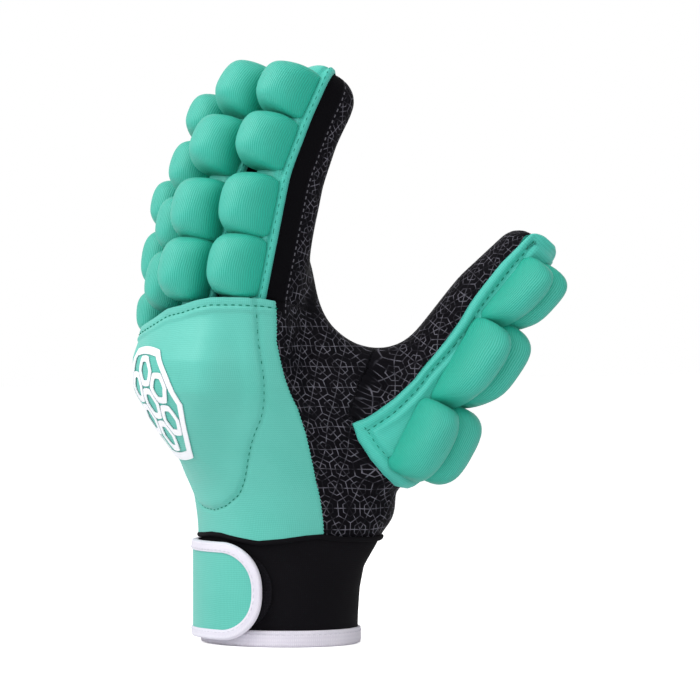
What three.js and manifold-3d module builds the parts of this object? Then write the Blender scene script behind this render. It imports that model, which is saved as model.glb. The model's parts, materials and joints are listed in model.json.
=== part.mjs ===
// Field hockey glove for the left hand, standing on its cuff. +Z points up along the fingers, +X out of
// the palm, +Y towards the little finger. Lengths are in millimetres.
import * as THREE from "three";
import { mergeVertices } from "three/addons/utils/BufferGeometryUtils.js";
import Module from "manifold-3d";

const wasm = await Module();
wasm.setup();

// Gaps and walls
const SEAT_GAP = 0.3; // between two pieces that touch
const FACET_GAP = 0.85; // between two faceted curves that touch
const LEATHER = 2.2; // palm leather with its lining
const BACK_WALL = 4; // foam-backed fabric on the back of the hand
const OVERRUN = 6; // how far a cutting body runs past what it cuts

// Cuff
const CUFF_HEIGHT = 44;
const CUFF_HALF_DEPTH = 31;
const CUFF_HALF_WIDTH = 39;
const CUFF_WALL = 3.5;
const BINDING_HEIGHT = 6.8;
const BINDING_TAPE = 1.2;

// Strap and closure
const STRAP_THICK = 2.6;
const STRAP_BOTTOM = 2.4; // height of its lower edge
const STRAP_TOP_GAP = 1.6; // from its upper edge to the top of the cuff
const STRAP_WIDTH = CUFF_HEIGHT - STRAP_TOP_GAP - STRAP_BOTTOM;
const STRAP_SIDE_GAP = 4.5; // how much narrower the hook patch is than the strap, on each side
const STRAP_SEWN_END = 101; // degrees round the wrist, 0 at the palm and 90 at the little finger
const STRAP_FOLD = 176; // degrees
const STRAP_FREE_END = 219; // degrees
const HOOK_START = 180; // degrees
const HOOK_END = 212; // degrees
const LOOP_START = 150; // degrees
const LOOP_END = 228; // degrees

// Hand
const PALM_LENGTH = 97; // from the top of the cuff to the knuckle hem
const HAND_LEAN = 24; // how far the knuckles stand behind the wrist
const BACK_DEPTH = 27; // middle of the hand to its back
const PALM_DEPTH = 30; // middle of the hand to the palm
const HAND_HALF_WIDTH = 46;
const THENAR_REACH = 29; // how far the ball of the thumb and its web stand out
const THENAR_TURN = -52; // degrees
const THENAR_SPREAD = 25; // degrees
const KNUCKLE_SKEW = 0.1; // the little finger's side sits nearer the palm
const RADIAL_SEAM = -90; // degrees, where back and palm are sewn together at the wrist
const RADIAL_SEAM_TURN = -13; // degrees more at the knuckles
const ULNAR_SEAM = 100; // degrees

// Raised pad on the back
const BACK_PAD_THICK = 11;
const BACK_PAD_EDGE = 3;
const BACK_PAD_FROM = -243; // degrees
const BACK_PAD_TO = -120; // degrees
const BACK_PAD_START_SHARE = 0.13; // of the palm length, above the cuff
const BACK_PAD_CROWN_SHARE = 0.4; // exponent of its crown across the hand
const HEM = 3; // from its upper edge to the folded edge of the back

// Fingers. The flange wraps the back of the sleeve, and the pads stand on the flange.
const PAD_LENGTH = 26;
const PAD_HALF_WIDTH = 11.4;
const PAD_THICK = 17;
const SLEEVE_HALF_WIDTH = 9.7;
const SLEEVE_BACK = 12; // bone line to the back of the sleeve
const SLEEVE_FRONT = 14.5; // bone line to its palm side, at the knuckle
const FLANGE_THICK = 2.6;
const FLANGE_SIDE = 1.3;
const FLANGE_WRAP = 5;
const FINGERTIP_ROUND = 9;
const KNUCKLE_MARGIN = 4.5; // room beside a finger's pads in the top edge of the hand
const KNUCKLE_BEND = 50; // degrees that each joint bends from rest
const MIDDLE_BEND = 55;
const TIP_BEND = 33;

// Where each knuckle is, as shares of the hand's lean, half width and palm length, how far each link leans
// towards the palm in degrees, the length of each pad as a share of the pad length, link by link, and the
// finger's girth.
const FINGERS = {
  index: {
    placeShares: [-1.07, -0.74, 0.974],
    lean: [13, 24, 28],
    padShares: [[1.02, 1], [0.92], [0.88]],
    girthShare: 1,
  },
  middle: {
    placeShares: [-1.43, -0.217, 0.964],
    lean: [14, 26, 35],
    padShares: [[0.98, 0.98], [0.95], [0.92]],
    girthShare: 1,
  },
  ring: {
    placeShares: [-1.2, 0.272, 0.93],
    lean: [12.5, 20, 25],
    padShares: [[0.9, 0.88], [0.83], [0.77]],
    girthShare: 0.93,
  },
  little: {
    placeShares: [-0.92, 0.717, 0.84],
    lean: [3, 9, 15],
    padShares: [[0.69], [0.9], [0.76]],
    girthShare: 0.82,
  },
};
// Palm side of a sleeve at the knuckle, the middle joint, the last joint and the tip
const FRONT_SHARES = [1, 0.87, 0.79, 0.72];

// Thumb
const THUMB_ROOT_SHARE = 0.35; // height of its root as a share of the palm length
const THUMB_ROOT_TURN = -54; // degrees round the hand
const THUMB_ROOT_INSET = 3;
const THUMB_FACING = 32; // degrees, the upright plane that the thumb lies in, turned from +X towards -Y
const THUMB_ROLL = 37; // degrees that its back is rolled towards the thumb side
const THUMB_RISE = [61, 56, 48]; // degrees above level, link by link
const THUMB_PAD_LENGTH = 36;
const THUMB_RADIUS = 14.5; // at the first bend
const THUMB_LENGTH_SHARES = [0.98, 1.03, 0.92]; // of the pad length
const THUMB_RADIUS_SHARES = [1.17, 1, 0.86, 0.72]; // root, first bend, second bend, tip
const THUMB_BEND = 35; // degrees
const GUARD_THICK = 2.5;
const GUARD_NEAR = [96, 66, 60]; // degrees round the sleeve, on the side away from the fingers
const GUARD_FAR = -60; // degrees
const THUMB_PAD_TURN = 33; // degrees from the middle of the guard to each column of pads
const THUMB_PAD_WIDTH_SHARE = 0.9; // of the room that the turn leaves each column
const THUMB_PAD_THICK = 13;

// Roundness of the ovals, as exponents
const SLEEVE_ROUND = 2.6;
const THUMB_ROUND = 2.1;
const PAD_ROUND = 3.2;

// Facets
const SLEEVE_SIDES = 16;
const PAD_SIDES = 16;
const WRIST_SIDES = 32;
const BACK_STEPS = 18;
const PALM_STEPS = 24;
const GUARD_STEPS = 8;
const BAND_STEPS = 6;
const LOOP_STEPS = 12;
const ENVELOPE_SIDES = 64;

// Shapes, as shares of the piece that has them
const TIP_SHARES = [0.55, 0.9]; // height of a rounded end, counted back from the end
const DOME_SHARES = [
  [0, 1],
  [0.62, 0.78],
  [0.92, 0.4],
]; // rise and size up a fingertip
const CUSHION_SHARES = [
  [0, 0.92],
  [0.22, 1],
  [0.52, 0.96],
  [0.78, 0.8],
  [0.94, 0.5],
]; // rise and size up a pad
const ROOT_SHARES = [
  [-0.75, 0.5],
  [-0.4, 0.84],
  [0, 1],
]; // distance and size where the thumb runs into the hand, as shares of its radius
const GUARD_CLEAR_SHARE = 1.04; // guard radius as a share of the sleeve's, which is a squarer oval
const PAD_RAMP_SHARE = 0.45; // share of the back pad's height over which it reaches its full thickness
const THUMB_NAMES = ["root", "middle", "distal"];
const SIDE_NAMES = ["inner", "outer"];

const rad = THREE.MathUtils.degToRad;
const lerp = THREE.MathUtils.lerp;

// Finishes
const finish = (color, roughness) => new THREE.MeshStandardMaterial({ color, roughness, metalness: 0 });
const MINT = finish(0x52c3a8, 0.85);
const LEATHER_BLACK = finish(0x141317, 0.6);
const NEOPRENE = finish(0x0e0d11, 0.9);
const WHITE_TAPE = finish(0xe9e4f0, 0.7);

// Skins a stack of rings, each with as many points, that run anticlockwise seen from the end of the stack.
// A stack is closed by a point at each end, or by joining its last ring to its first.
function skin(rings, startPoint, endPoint) {
  const position = [];
  const index = [];
  const sides = rings[0].length;
  const cyclic = !startPoint;
  rings.forEach((ring) => ring.forEach((p) => position.push(p.x, p.y, p.z)));
  const at = (ring, side) => (ring % rings.length) * sides + (side % sides);
  const steps = cyclic ? rings.length : rings.length - 1;
  for (let i = 0; i < steps; i++) {
    for (let j = 0; j < sides; j++) {
      index.push(at(i, j), at(i, j + 1), at(i + 1, j + 1));
      index.push(at(i, j), at(i + 1, j + 1), at(i + 1, j));
    }
  }
  if (!cyclic) {
    const first = position.length / 3;
    position.push(startPoint.x, startPoint.y, startPoint.z, endPoint.x, endPoint.y, endPoint.z);
    for (let j = 0; j < sides; j++) {
      index.push(first, at(0, j + 1), at(0, j));
      index.push(first + 1, at(rings.length - 1, j), at(rings.length - 1, j + 1));
    }
  }
  return indexed(position, index);
}

// Skins a curved wall. Each level holds its outer points anticlockwise and as many inner points behind
// them.
function wall(levels) {
  const rings = levels.map(({ outer, inner }) => [...outer, ...[...inner].reverse()]);
  const sides = rings[0].length;
  const position = rings.flat().flatMap((p) => [p.x, p.y, p.z]);
  const index = [];
  for (let i = 0; i + 1 < rings.length; i++) {
    for (let j = 0; j < sides; j++) {
      const [a, b] = [i * sides + j, i * sides + ((j + 1) % sides)];
      index.push(a, b, b + sides, a, b + sides, a + sides);
    }
  }
  const top = (rings.length - 1) * sides;
  for (let j = 0; j + 1 < sides / 2; j++) {
    const [a, b, c, d] = [j, j + 1, sides - 2 - j, sides - 1 - j];
    index.push(a, c, b, a, d, c, top + a, top + b, top + c, top + a, top + c, top + d);
  }
  return indexed(position, index);
}

function indexed(position, index) {
  const geometry = new THREE.BufferGeometry();
  geometry.setAttribute("position", new THREE.Float32BufferAttribute(position, 3));
  geometry.setIndex(index);
  geometry.computeVertexNormals();
  return geometry;
}

// Solids for cutting
function toSolid(geometry) {
  const bare = geometry.clone();
  bare.deleteAttribute("normal");
  bare.deleteAttribute("uv");
  const merged = mergeVertices(bare);
  const vertProperties = new Float32Array(merged.attributes.position.array);
  const triVerts = new Uint32Array(merged.index.array);
  return new wasm.Manifold(new wasm.Mesh({ numProp: 3, vertProperties, triVerts }));
}

function fromSolid(solid) {
  const mesh = solid.getMesh();
  return indexed(Array.from(mesh.vertProperties), Array.from(mesh.triVerts));
}

const named = (name, geometry, material) => {
  const mesh = new THREE.Mesh(geometry, material);
  mesh.name = name;
  return mesh;
};

// The hand's cross-section changes with height. Each row holds the height as a share of the palm's length,
// then the lean, back, palm, width and thenar reach, turn and spread as shares of the hand's own sizes.
const HAND_ROW_SHARES = [
  [0, 0.08, 1.06, 1, 0.88, 0.45, 1, 1],
  [0.08, 0.12, 1.03, 1, 0.9, 0.75, 1, 1],
  [0.19, 0.2, 1.02, 0.97, 0.92, 0.85, 1, 1],
  [0.33, 0.38, 1.06, 0.9, 0.95, 0.92, 1, 1],
  [0.47, 0.62, 1.1, 0.82, 0.98, 1.04, 0.98, 0.95],
  [0.62, 0.82, 1.14, 0.72, 1, 1.22, 0.93, 0.85],
  [0.74, 0.9, 1.1, 0.62, 1.02, 1.3, 0.9, 0.75],
  [0.845, 0.94, 1, 0.55, 1.03, 1, 0.95, 0.75],
  [0.93, 0.98, 0.96, 0.5, 1.03, 0.55, 1, 0.8],
  [1, 1.04, 0.93, 0.46, 1.03, 0.25, 1, 0.8],
];
// The cuff, as shares of its own height: row height, then how much of the hand's lowest section it has
// taken on.
const CUFF_ROW_SHARES = [
  [0, 0],
  [0.5, 0],
  [0.75, 0.3],
  [0.9, 0.7],
  [1, 1],
];

const mixRows = (a, b, share) => a.map((value, i) => lerp(value, b[i], share));

function rowAt(rows, height) {
  const last = rows.findIndex((row) => row[0] >= height);
  if (last === 0) return rows[0];
  if (last < 0) return rows[rows.length - 1];
  const [low, high] = [rows[last - 1], rows[last]];
  return mixRows(low, high, (height - low[0]) / (high[0] - low[0]));
}

function handSection(z) {
  const row = rowAt(HAND_ROW_SHARES, (z - CUFF_HEIGHT) / PALM_LENGTH);
  const [, lean, back, palm, width, thenar, turn, spread] = row;
  return {
    x: -lean * HAND_LEAN,
    back: back * BACK_DEPTH,
    palm: palm * PALM_DEPTH,
    width: width * HAND_HALF_WIDTH,
    thenar: thenar * THENAR_REACH,
    turn: turn * THENAR_TURN,
    spread: spread * THENAR_SPREAD,
  };
}

function cuffSection(z) {
  const [, share] = rowAt(CUFF_ROW_SHARES, z / CUFF_HEIGHT);
  const hand = handSection(CUFF_HEIGHT);
  const oval = { x: 0, back: CUFF_HALF_DEPTH, palm: CUFF_HALF_DEPTH, width: CUFF_HALF_WIDTH, thenar: 0 };
  const wrist = { ...hand, ...oval };
  return Object.fromEntries(Object.keys(wrist).map((key) => [key, lerp(wrist[key], hand[key], share)]));
}

// A point on a section, at an angle round the hand and a distance outside its surface.
function onSection(section, angle, out, z) {
  const [c, s] = [Math.cos(rad(angle)), Math.sin(rad(angle))];
  const depth = c < 0 ? section.back : section.palm;
  const turn = (((angle - section.turn + 540) % 360) - 180) / section.spread;
  const bulge = section.thenar * Math.exp(-turn * turn);
  const radius = 1 / Math.hypot(c / depth, s / section.width) + bulge + out;
  return new THREE.Vector3(section.x + radius * (c + KNUCKLE_SKEW * s), radius * s, z);
}

// The knuckles, and the height of the hand's top edge where it meets the fingers. On the palm side the
// edge is cut back, so that the fingers can bend over it.
const knuckleOf = ({ placeShares: [x, y, z] }) =>
  new THREE.Vector3(x * HAND_LEAN, y * HAND_HALF_WIDTH, CUFF_HEIGHT + z * PALM_LENGTH);
const knuckles = Object.values(FINGERS).map((finger) => {
  const reach = PAD_HALF_WIDTH * finger.girthShare + KNUCKLE_MARGIN;
  return { ...finger, reach, place: knuckleOf(finger) };
});

function topEdge(x, y) {
  const distance = (knuckle) => Math.abs(y - knuckle.place.y) - knuckle.reach;
  const nearest = knuckles.reduce((best, knuckle) => (distance(knuckle) < distance(best) ? knuckle : best));
  const below = knuckles.filter((knuckle) => knuckle === nearest || distance(knuckle) < 0);
  const heights = below.map(({ place, lean }) => {
    const over = Math.min(x - place.x, SLEEVE_FRONT);
    const slope = over > 0 ? KNUCKLE_BEND / 2 + lean[0] : lean[0];
    return place.z - SEAT_GAP - over * Math.tan(rad(slope));
  });
  return Math.min(...heights);
}

// One curved wall of the hand, from a start angle to an end angle that both may change with height.
function handWall(fromAngle, toAngle, steps, outerOut, innerOut, bottom, top) {
  const columnTop = (share) => {
    const angle = lerp(fromAngle(1), toAngle(1), share);
    const probe = onSection(handSection(CUFF_HEIGHT + PALM_LENGTH), angle, innerOut(0, 1), 0);
    return top(probe.x, probe.y);
  };
  const levels = HAND_ROW_SHARES.map(([height]) => {
    const level = { outer: [], inner: [] };
    for (let i = 0; i <= steps; i++) {
      const share = i / steps;
      const angle = lerp(fromAngle(height), toAngle(height), share);
      const z = lerp(bottom, columnTop(share), height);
      const section = handSection(z);
      level.outer.push(onSection(section, angle, outerOut(share, height), z));
      level.inner.push(onSection(section, angle, innerOut(share, height), z));
    }
    return level;
  });
  return wall(levels);
}

const gapAngle = (SEAT_GAP / 2 / HAND_HALF_WIDTH) * (180 / Math.PI);
const radialSeam = (height) => RADIAL_SEAM + RADIAL_SEAM_TURN * height;
const handBottom = CUFF_HEIGHT + SEAT_GAP;

function makeBackShell() {
  const geometry = handWall(
    () => ULNAR_SEAM - 360 + gapAngle,
    (height) => radialSeam(height) - gapAngle,
    BACK_STEPS,
    () => 0,
    () => -BACK_WALL,
    handBottom,
    topEdge,
  );
  return named("back_shell", geometry, MINT);
}

// The raised pad is thickest in its middle and thins towards its stitch line.
function makeBackPad() {
  const crown = (share, height) => {
    const across = Math.sin(Math.PI * share) ** BACK_PAD_CROWN_SHARE;
    const along = Math.sin((Math.PI / 2) * Math.min(1, height / PAD_RAMP_SHARE));
    return FACET_GAP + BACK_PAD_EDGE + (BACK_PAD_THICK - BACK_PAD_EDGE) * across * along;
  };
  const geometry = handWall(
    () => BACK_PAD_FROM,
    () => BACK_PAD_TO,
    BACK_STEPS,
    crown,
    () => FACET_GAP,
    CUFF_HEIGHT + BACK_PAD_START_SHARE * PALM_LENGTH,
    (x, y) => topEdge(x, y) - HEM,
  );
  return named("back_pad", geometry, MINT);
}

// A ring round the wrist, with a closed profile of [outward, height] points that runs anticlockwise
// when the wrist's middle is to its left.
function wristRing(profile, sectionOf) {
  const rings = profile.map(([out, z]) =>
    Array.from({ length: WRIST_SIDES }, (_, j) => onSection(sectionOf(z), (360 * j) / WRIST_SIDES, out, z)),
  );
  return skin(rings);
}

function makeCuff() {
  const bottom = BINDING_TAPE + SEAT_GAP;
  const heights = CUFF_ROW_SHARES.map(([share]) => Math.max(share * CUFF_HEIGHT, bottom));
  const outer = heights.map((z) => [-BINDING_TAPE - SEAT_GAP, z]);
  const inner = [...heights].reverse().map((z) => [-BINDING_TAPE - SEAT_GAP - CUFF_WALL, z]);
  return named("wrist_cuff", wristRing([...outer, ...inner], cuffSection), NEOPRENE);
}

// White tape, folded over the rim of the cuff.
function makeBinding() {
  const innerFace = -BINDING_TAPE - CUFF_WALL - 2 * SEAT_GAP;
  const profile = [
    [0, 0],
    [0, BINDING_HEIGHT],
    [-BINDING_TAPE, BINDING_HEIGHT],
    [-BINDING_TAPE, BINDING_TAPE],
    [innerFace, BINDING_TAPE],
    [innerFace, BINDING_HEIGHT],
    [innerFace - BINDING_TAPE, BINDING_HEIGHT],
    [innerFace - BINDING_TAPE, 0],
  ];
  return named("cuff_binding", wristRing(profile, cuffSection), WHITE_TAPE);
}

const strapTop = STRAP_BOTTOM + STRAP_WIDTH;

// How far a straight band stands off the wrist to clear the cuff where that flares towards the hand.
function flareAt(angle) {
  const reach = (z) => onSection(cuffSection(z), angle, 0, 0).length();
  return Math.max(0, reach(strapTop) - reach(0) - BINDING_TAPE);
}

const onWrist = (angle, out, z) => onSection(cuffSection(0), angle, out + flareAt(angle), z);

// A band that lies round the wrist between two angles and two heights. Its free end is rounded by the
// shares of its height that are left there, counted back from the end.
function wristBand({ name, from, to, steps, out, thick, low, high, endShares = [], material }) {
  const middle = (low + high) / 2;
  const columns = Array.from({ length: steps + 1 }, (_, i) => {
    const share = i / steps;
    const reach = ((high - low) / 2) * (endShares[steps - i] ?? 1);
    return { angle: lerp(from, to, share), out: out(share), low: middle - reach, high: middle + reach };
  });
  const side = (edge, extra) =>
    columns.map((column) => onWrist(column.angle, column.out + extra, column[edge]));
  const levels = ["low", "high"].map((edge) => ({ outer: side(edge, thick), inner: side(edge, 0) }));
  return named(name, wall(levels), material);
}

const strapOut = SEAT_GAP;
const tipOut = strapOut + BINDING_TAPE + SEAT_GAP;
const patchLow = STRAP_BOTTOM + STRAP_SIDE_GAP + SEAT_GAP;
const patchHigh = strapTop - STRAP_SIDE_GAP;

const makeLoopPatch = () =>
  wristBand({
    name: "loop_patch",
    from: LOOP_START,
    to: LOOP_END,
    steps: LOOP_STEPS,
    out: () => -BINDING_TAPE,
    thick: BINDING_TAPE - SEAT_GAP,
    low: Math.max(patchLow, BINDING_HEIGHT + SEAT_GAP),
    high: patchHigh,
    endShares: TIP_SHARES,
    material: LEATHER_BLACK,
  });

const makeStrapBand = () =>
  wristBand({
    name: "strap_band",
    from: STRAP_SEWN_END,
    to: STRAP_FOLD - gapAngle,
    steps: BAND_STEPS,
    out: (share) => lerp(strapOut, tipOut, share),
    thick: STRAP_THICK,
    low: STRAP_BOTTOM,
    high: strapTop,
    material: MINT,
  });

const makeStrapTip = () =>
  wristBand({
    name: "strap_tip",
    from: STRAP_FOLD + gapAngle,
    to: STRAP_FREE_END,
    steps: BAND_STEPS,
    out: () => tipOut,
    thick: STRAP_THICK,
    low: STRAP_BOTTOM,
    high: strapTop,
    endShares: TIP_SHARES,
    material: MINT,
  });

const makeHookPatch = () =>
  wristBand({
    name: "hook_patch",
    from: HOOK_START,
    to: HOOK_END,
    steps: BAND_STEPS,
    out: () => strapOut,
    thick: BINDING_TAPE,
    low: patchLow,
    high: patchHigh,
    endShares: TIP_SHARES,
    material: NEOPRENE,
  });

// Sleeve of a finger or thumb link: an oval tube along +Z, palm side towards +X. Its ends slope with x, by
// one slope on the palm side and another on the back, and a thumb's ends also with the way that the thumb
// leans out.
function endHeight(x, y, slopes) {
  const lean = -(x * Math.cos(rad(THUMB_ROLL)) + y * Math.sin(rad(THUMB_ROLL))) * (slopes.outward ?? 0);
  return x * (x > 0 ? slopes.front : slopes.back) + lean;
}

function ovalRing({ halfWidth, back, front, round }, z, slopes, inset) {
  return Array.from({ length: SLEEVE_SIDES }, (_, j) => {
    const turn = (2 * Math.PI * j) / SLEEVE_SIDES;
    const [c, s] = [Math.cos(turn), Math.sin(turn)];
    const x = Math.sign(c) * Math.abs(c) ** (2 / round) * ((c > 0 ? front : back) - inset);
    const y = Math.sign(s) * Math.abs(s) ** (2 / round) * (halfWidth - inset);
    return new THREE.Vector3(x, y, z + endHeight(x, y, slopes));
  });
}

function openSleeve(low, high, length, lowSlopes, highSlopes) {
  const [start, end] = [SEAT_GAP / 2, length - SEAT_GAP / 2];
  return skin([
    ovalRing(low, start, lowSlopes, 0),
    ovalRing(high, end, highSlopes, 0),
    ovalRing(high, end, highSlopes, LEATHER),
    ovalRing(low, start, lowSlopes, LEATHER),
  ]);
}

// The last link ends in a rounded tip.
function closedSleeve(low, high, length, lowSlopes) {
  const flat = { front: 0, back: 0 };
  const dome = (inset) =>
    DOME_SHARES.map(([rise, size]) => {
      const shrink = (1 - size) * high.halfWidth;
      const z = length - FINGERTIP_ROUND + rise * (FINGERTIP_ROUND - inset);
      return ovalRing(high, z, flat, inset + shrink);
    });
  const start = SEAT_GAP / 2;
  const rings = [
    ...dome(LEATHER).reverse(),
    ovalRing(low, start, lowSlopes, LEATHER),
    ovalRing(low, start, lowSlopes, 0),
    ...dome(0),
  ];
  const pole = (inset) => new THREE.Vector3(0, 0, length - inset);
  return skin(rings, pole(LEATHER), pole(0));
}

// Flange: a shallow channel on the back of a sleeve.
function makeFlange(section, length, lowSlope, highSlope) {
  const outline = (side, back, wrap, corner) =>
    [
      [wrap, side],
      [back + corner, side],
      [back, side - corner],
      [back, corner - side],
      [back + corner, -side],
      [wrap, -side],
    ].map(([x, y]) => new THREE.Vector3(x, y, 0));
  const inner = section.halfWidth + SEAT_GAP;
  const innerBack = -section.back - SEAT_GAP;
  const wrap = innerBack + FLANGE_WRAP;
  const outerPoints = outline(inner + FLANGE_SIDE, innerBack - FLANGE_THICK, wrap, FLANGE_THICK);
  const innerPoints = outline(inner, innerBack, wrap, FLANGE_SIDE);
  const shift = (points, z, slope) => points.map((p) => new THREE.Vector3(p.x, p.y, z + p.x * slope));
  const level = (z, slope) => ({ outer: shift(outerPoints, z, slope), inner: shift(innerPoints, z, slope) });
  return wall([level(SEAT_GAP / 2, lowSlope), level(length - SEAT_GAP / 2, highSlope)]);
}

// Pad: a crowned cushion on a flat base, width along X, length along Y and height along Z.
function cushion(halfWidth, halfLength, height) {
  const rings = CUSHION_SHARES.map(([rise, size]) =>
    Array.from({ length: PAD_SIDES }, (_, j) => {
      const turn = (2 * Math.PI * (j + 0.5)) / PAD_SIDES;
      const [c, s] = [Math.cos(turn), Math.sin(turn)];
      const x = Math.sign(c) * Math.abs(c) ** (2 / PAD_ROUND) * halfWidth * size;
      const y = Math.sign(s) * Math.abs(s) ** (2 / PAD_ROUND) * halfLength * size;
      return new THREE.Vector3(x, y, rise * height);
    }),
  );
  return skin(rings, new THREE.Vector3(), new THREE.Vector3(0, 0, height));
}

// Stands a cushion on the back of a link, turned round the link's axis by an angle towards +Y.
function standPad(pad, distance, along, turn) {
  const out = new THREE.Vector3(-Math.cos(rad(turn)), Math.sin(rad(turn)), 0);
  const up = new THREE.Vector3(0, 0, 1);
  const across = new THREE.Vector3().crossVectors(up, out);
  pad.quaternion.setFromRotationMatrix(new THREE.Matrix4().makeBasis(across, up, out));
  pad.position.copy(out).multiplyScalar(distance).addScaledVector(up, along);
  return pad;
}

const pivot = (name, x, y, z) => {
  const group = new THREE.Group();
  group.name = name;
  group.position.set(x, y, z);
  return group;
};

const half = (angle) => Math.tan(rad(angle / 2));
const PHALANX_NAMES = ["proximal", "middle", "distal"];

function makeFinger(name, finger) {
  const { lean, padShares, girthShare } = finger;
  const sectionAt = (i) => ({
    halfWidth: SLEEVE_HALF_WIDTH * girthShare,
    back: SLEEVE_BACK * girthShare,
    front: SLEEVE_FRONT * girthShare * FRONT_SHARES[i],
    round: SLEEVE_ROUND,
  });
  const bends = [KNUCKLE_BEND, MIDDLE_BEND, TIP_BEND];
  const turns = [0, lean[1] - lean[0], lean[2] - lean[1]];
  const knuckle = knuckleOf(finger);
  const root = pivot(`${name}_knuckle`, knuckle.x, knuckle.y, knuckle.z);
  root.rotation.y = rad(lean[0]);
  let link = root;
  let padNumber = 0;
  padShares.forEach((shares, i) => {
    const lengths = shares.map((share) => share * PAD_LENGTH);
    const length = lengths.reduce((sum, value) => sum + value, 0);
    const low = sectionAt(i);
    const lowSlopes = { front: half(bends[i] + turns[i]), back: half(turns[i]) };
    const last = i === padShares.length - 1;
    const highSlopes = last ? null : { front: -half(bends[i + 1] + turns[i + 1]), back: -half(turns[i + 1]) };
    const title = `${name}_${PHALANX_NAMES[i]}`;
    const sleeve = last
      ? closedSleeve(low, sectionAt(i + 1), length, lowSlopes)
      : openSleeve(low, sectionAt(i + 1), length, lowSlopes, highSlopes);
    link.add(named(`${title}_sleeve`, sleeve, LEATHER_BLACK));
    const flange = makeFlange(low, length, lowSlopes.back, last ? 0 : highSlopes.back);
    link.add(named(`${title}_flange`, flange, MINT));
    let from = 0;
    lengths.forEach((padLength) => {
      padNumber += 1;
      const halfLength = (padLength - SEAT_GAP) / 2;
      const body = cushion(PAD_HALF_WIDTH * girthShare, halfLength, PAD_THICK * girthShare);
      const pad = named(`${name}_pad_${padNumber}`, body, MINT);
      link.add(standPad(pad, low.back + FLANGE_THICK + 2 * SEAT_GAP, from + padLength / 2, 0));
      from += padLength;
    });
    if (last) return;
    const next = pivot(`${name}_joint_${i + 2}`, 0, 0, length);
    next.rotation.y = rad(lean[i + 1] - lean[i]);
    link.add(next);
    link = next;
  });
  return root;
}

// Thumb. Each link has its own axes: z along it, x towards its palm side, y towards the thumb side of the
// hand.
function thumbAxes(rise) {
  const level = new THREE.Vector3(Math.cos(rad(THUMB_FACING)), -Math.sin(rad(THUMB_FACING)), 0);
  const up = new THREE.Vector3(0, 0, 1);
  const behind = new THREE.Vector3().crossVectors(up, level);
  const along = level.clone().multiplyScalar(Math.cos(rad(rise))).addScaledVector(up, Math.sin(rad(rise)));
  const inward = new THREE.Vector3().crossVectors(along, behind);
  const palmar = inward.multiplyScalar(Math.cos(rad(THUMB_ROLL)));
  palmar.addScaledVector(behind, Math.sin(rad(THUMB_ROLL)));
  const side = new THREE.Vector3().crossVectors(along, palmar);
  return new THREE.Matrix4().makeBasis(palmar, side, along);
}

function thumbSection(i) {
  const radius = THUMB_RADIUS * THUMB_RADIUS_SHARES[i];
  return { halfWidth: radius, back: radius, front: radius, round: THUMB_ROUND };
}

function makeGuard(low, high, length, near, lowSlopes, highSlopes) {
  const arc = (radius, z, slopes) =>
    Array.from({ length: GUARD_STEPS + 1 }, (_, i) => {
      const angle = rad(180 - lerp(near, GUARD_FAR, i / GUARD_STEPS));
      const [x, y] = [radius * Math.cos(angle), radius * Math.sin(angle)];
      return new THREE.Vector3(x, y, z + endHeight(x, y, slopes));
    });
  const level = ({ back }, z, slopes) => {
    const radius = back * GUARD_CLEAR_SHARE + SEAT_GAP;
    return { outer: arc(radius + GUARD_THICK, z, slopes), inner: arc(radius, z, slopes) };
  };
  return wall([level(low, SEAT_GAP / 2, lowSlopes), level(high, length - SEAT_GAP / 2, highSlopes)]);
}

function thumbRoot() {
  const z = CUFF_HEIGHT + THUMB_ROOT_SHARE * PALM_LENGTH;
  return onSection(handSection(z), THUMB_ROOT_TURN, -THUMB_ROOT_INSET, z);
}

// A stub that tapers from the thumb's root into the hand.
function rootRings(inset) {
  const flat = { front: 0, back: 0 };
  return ROOT_SHARES.map(([along, size]) => {
    const section = thumbSection(0);
    return ovalRing(section, along * section.back, flat, inset + (1 - size) * section.back);
  });
}

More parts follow.
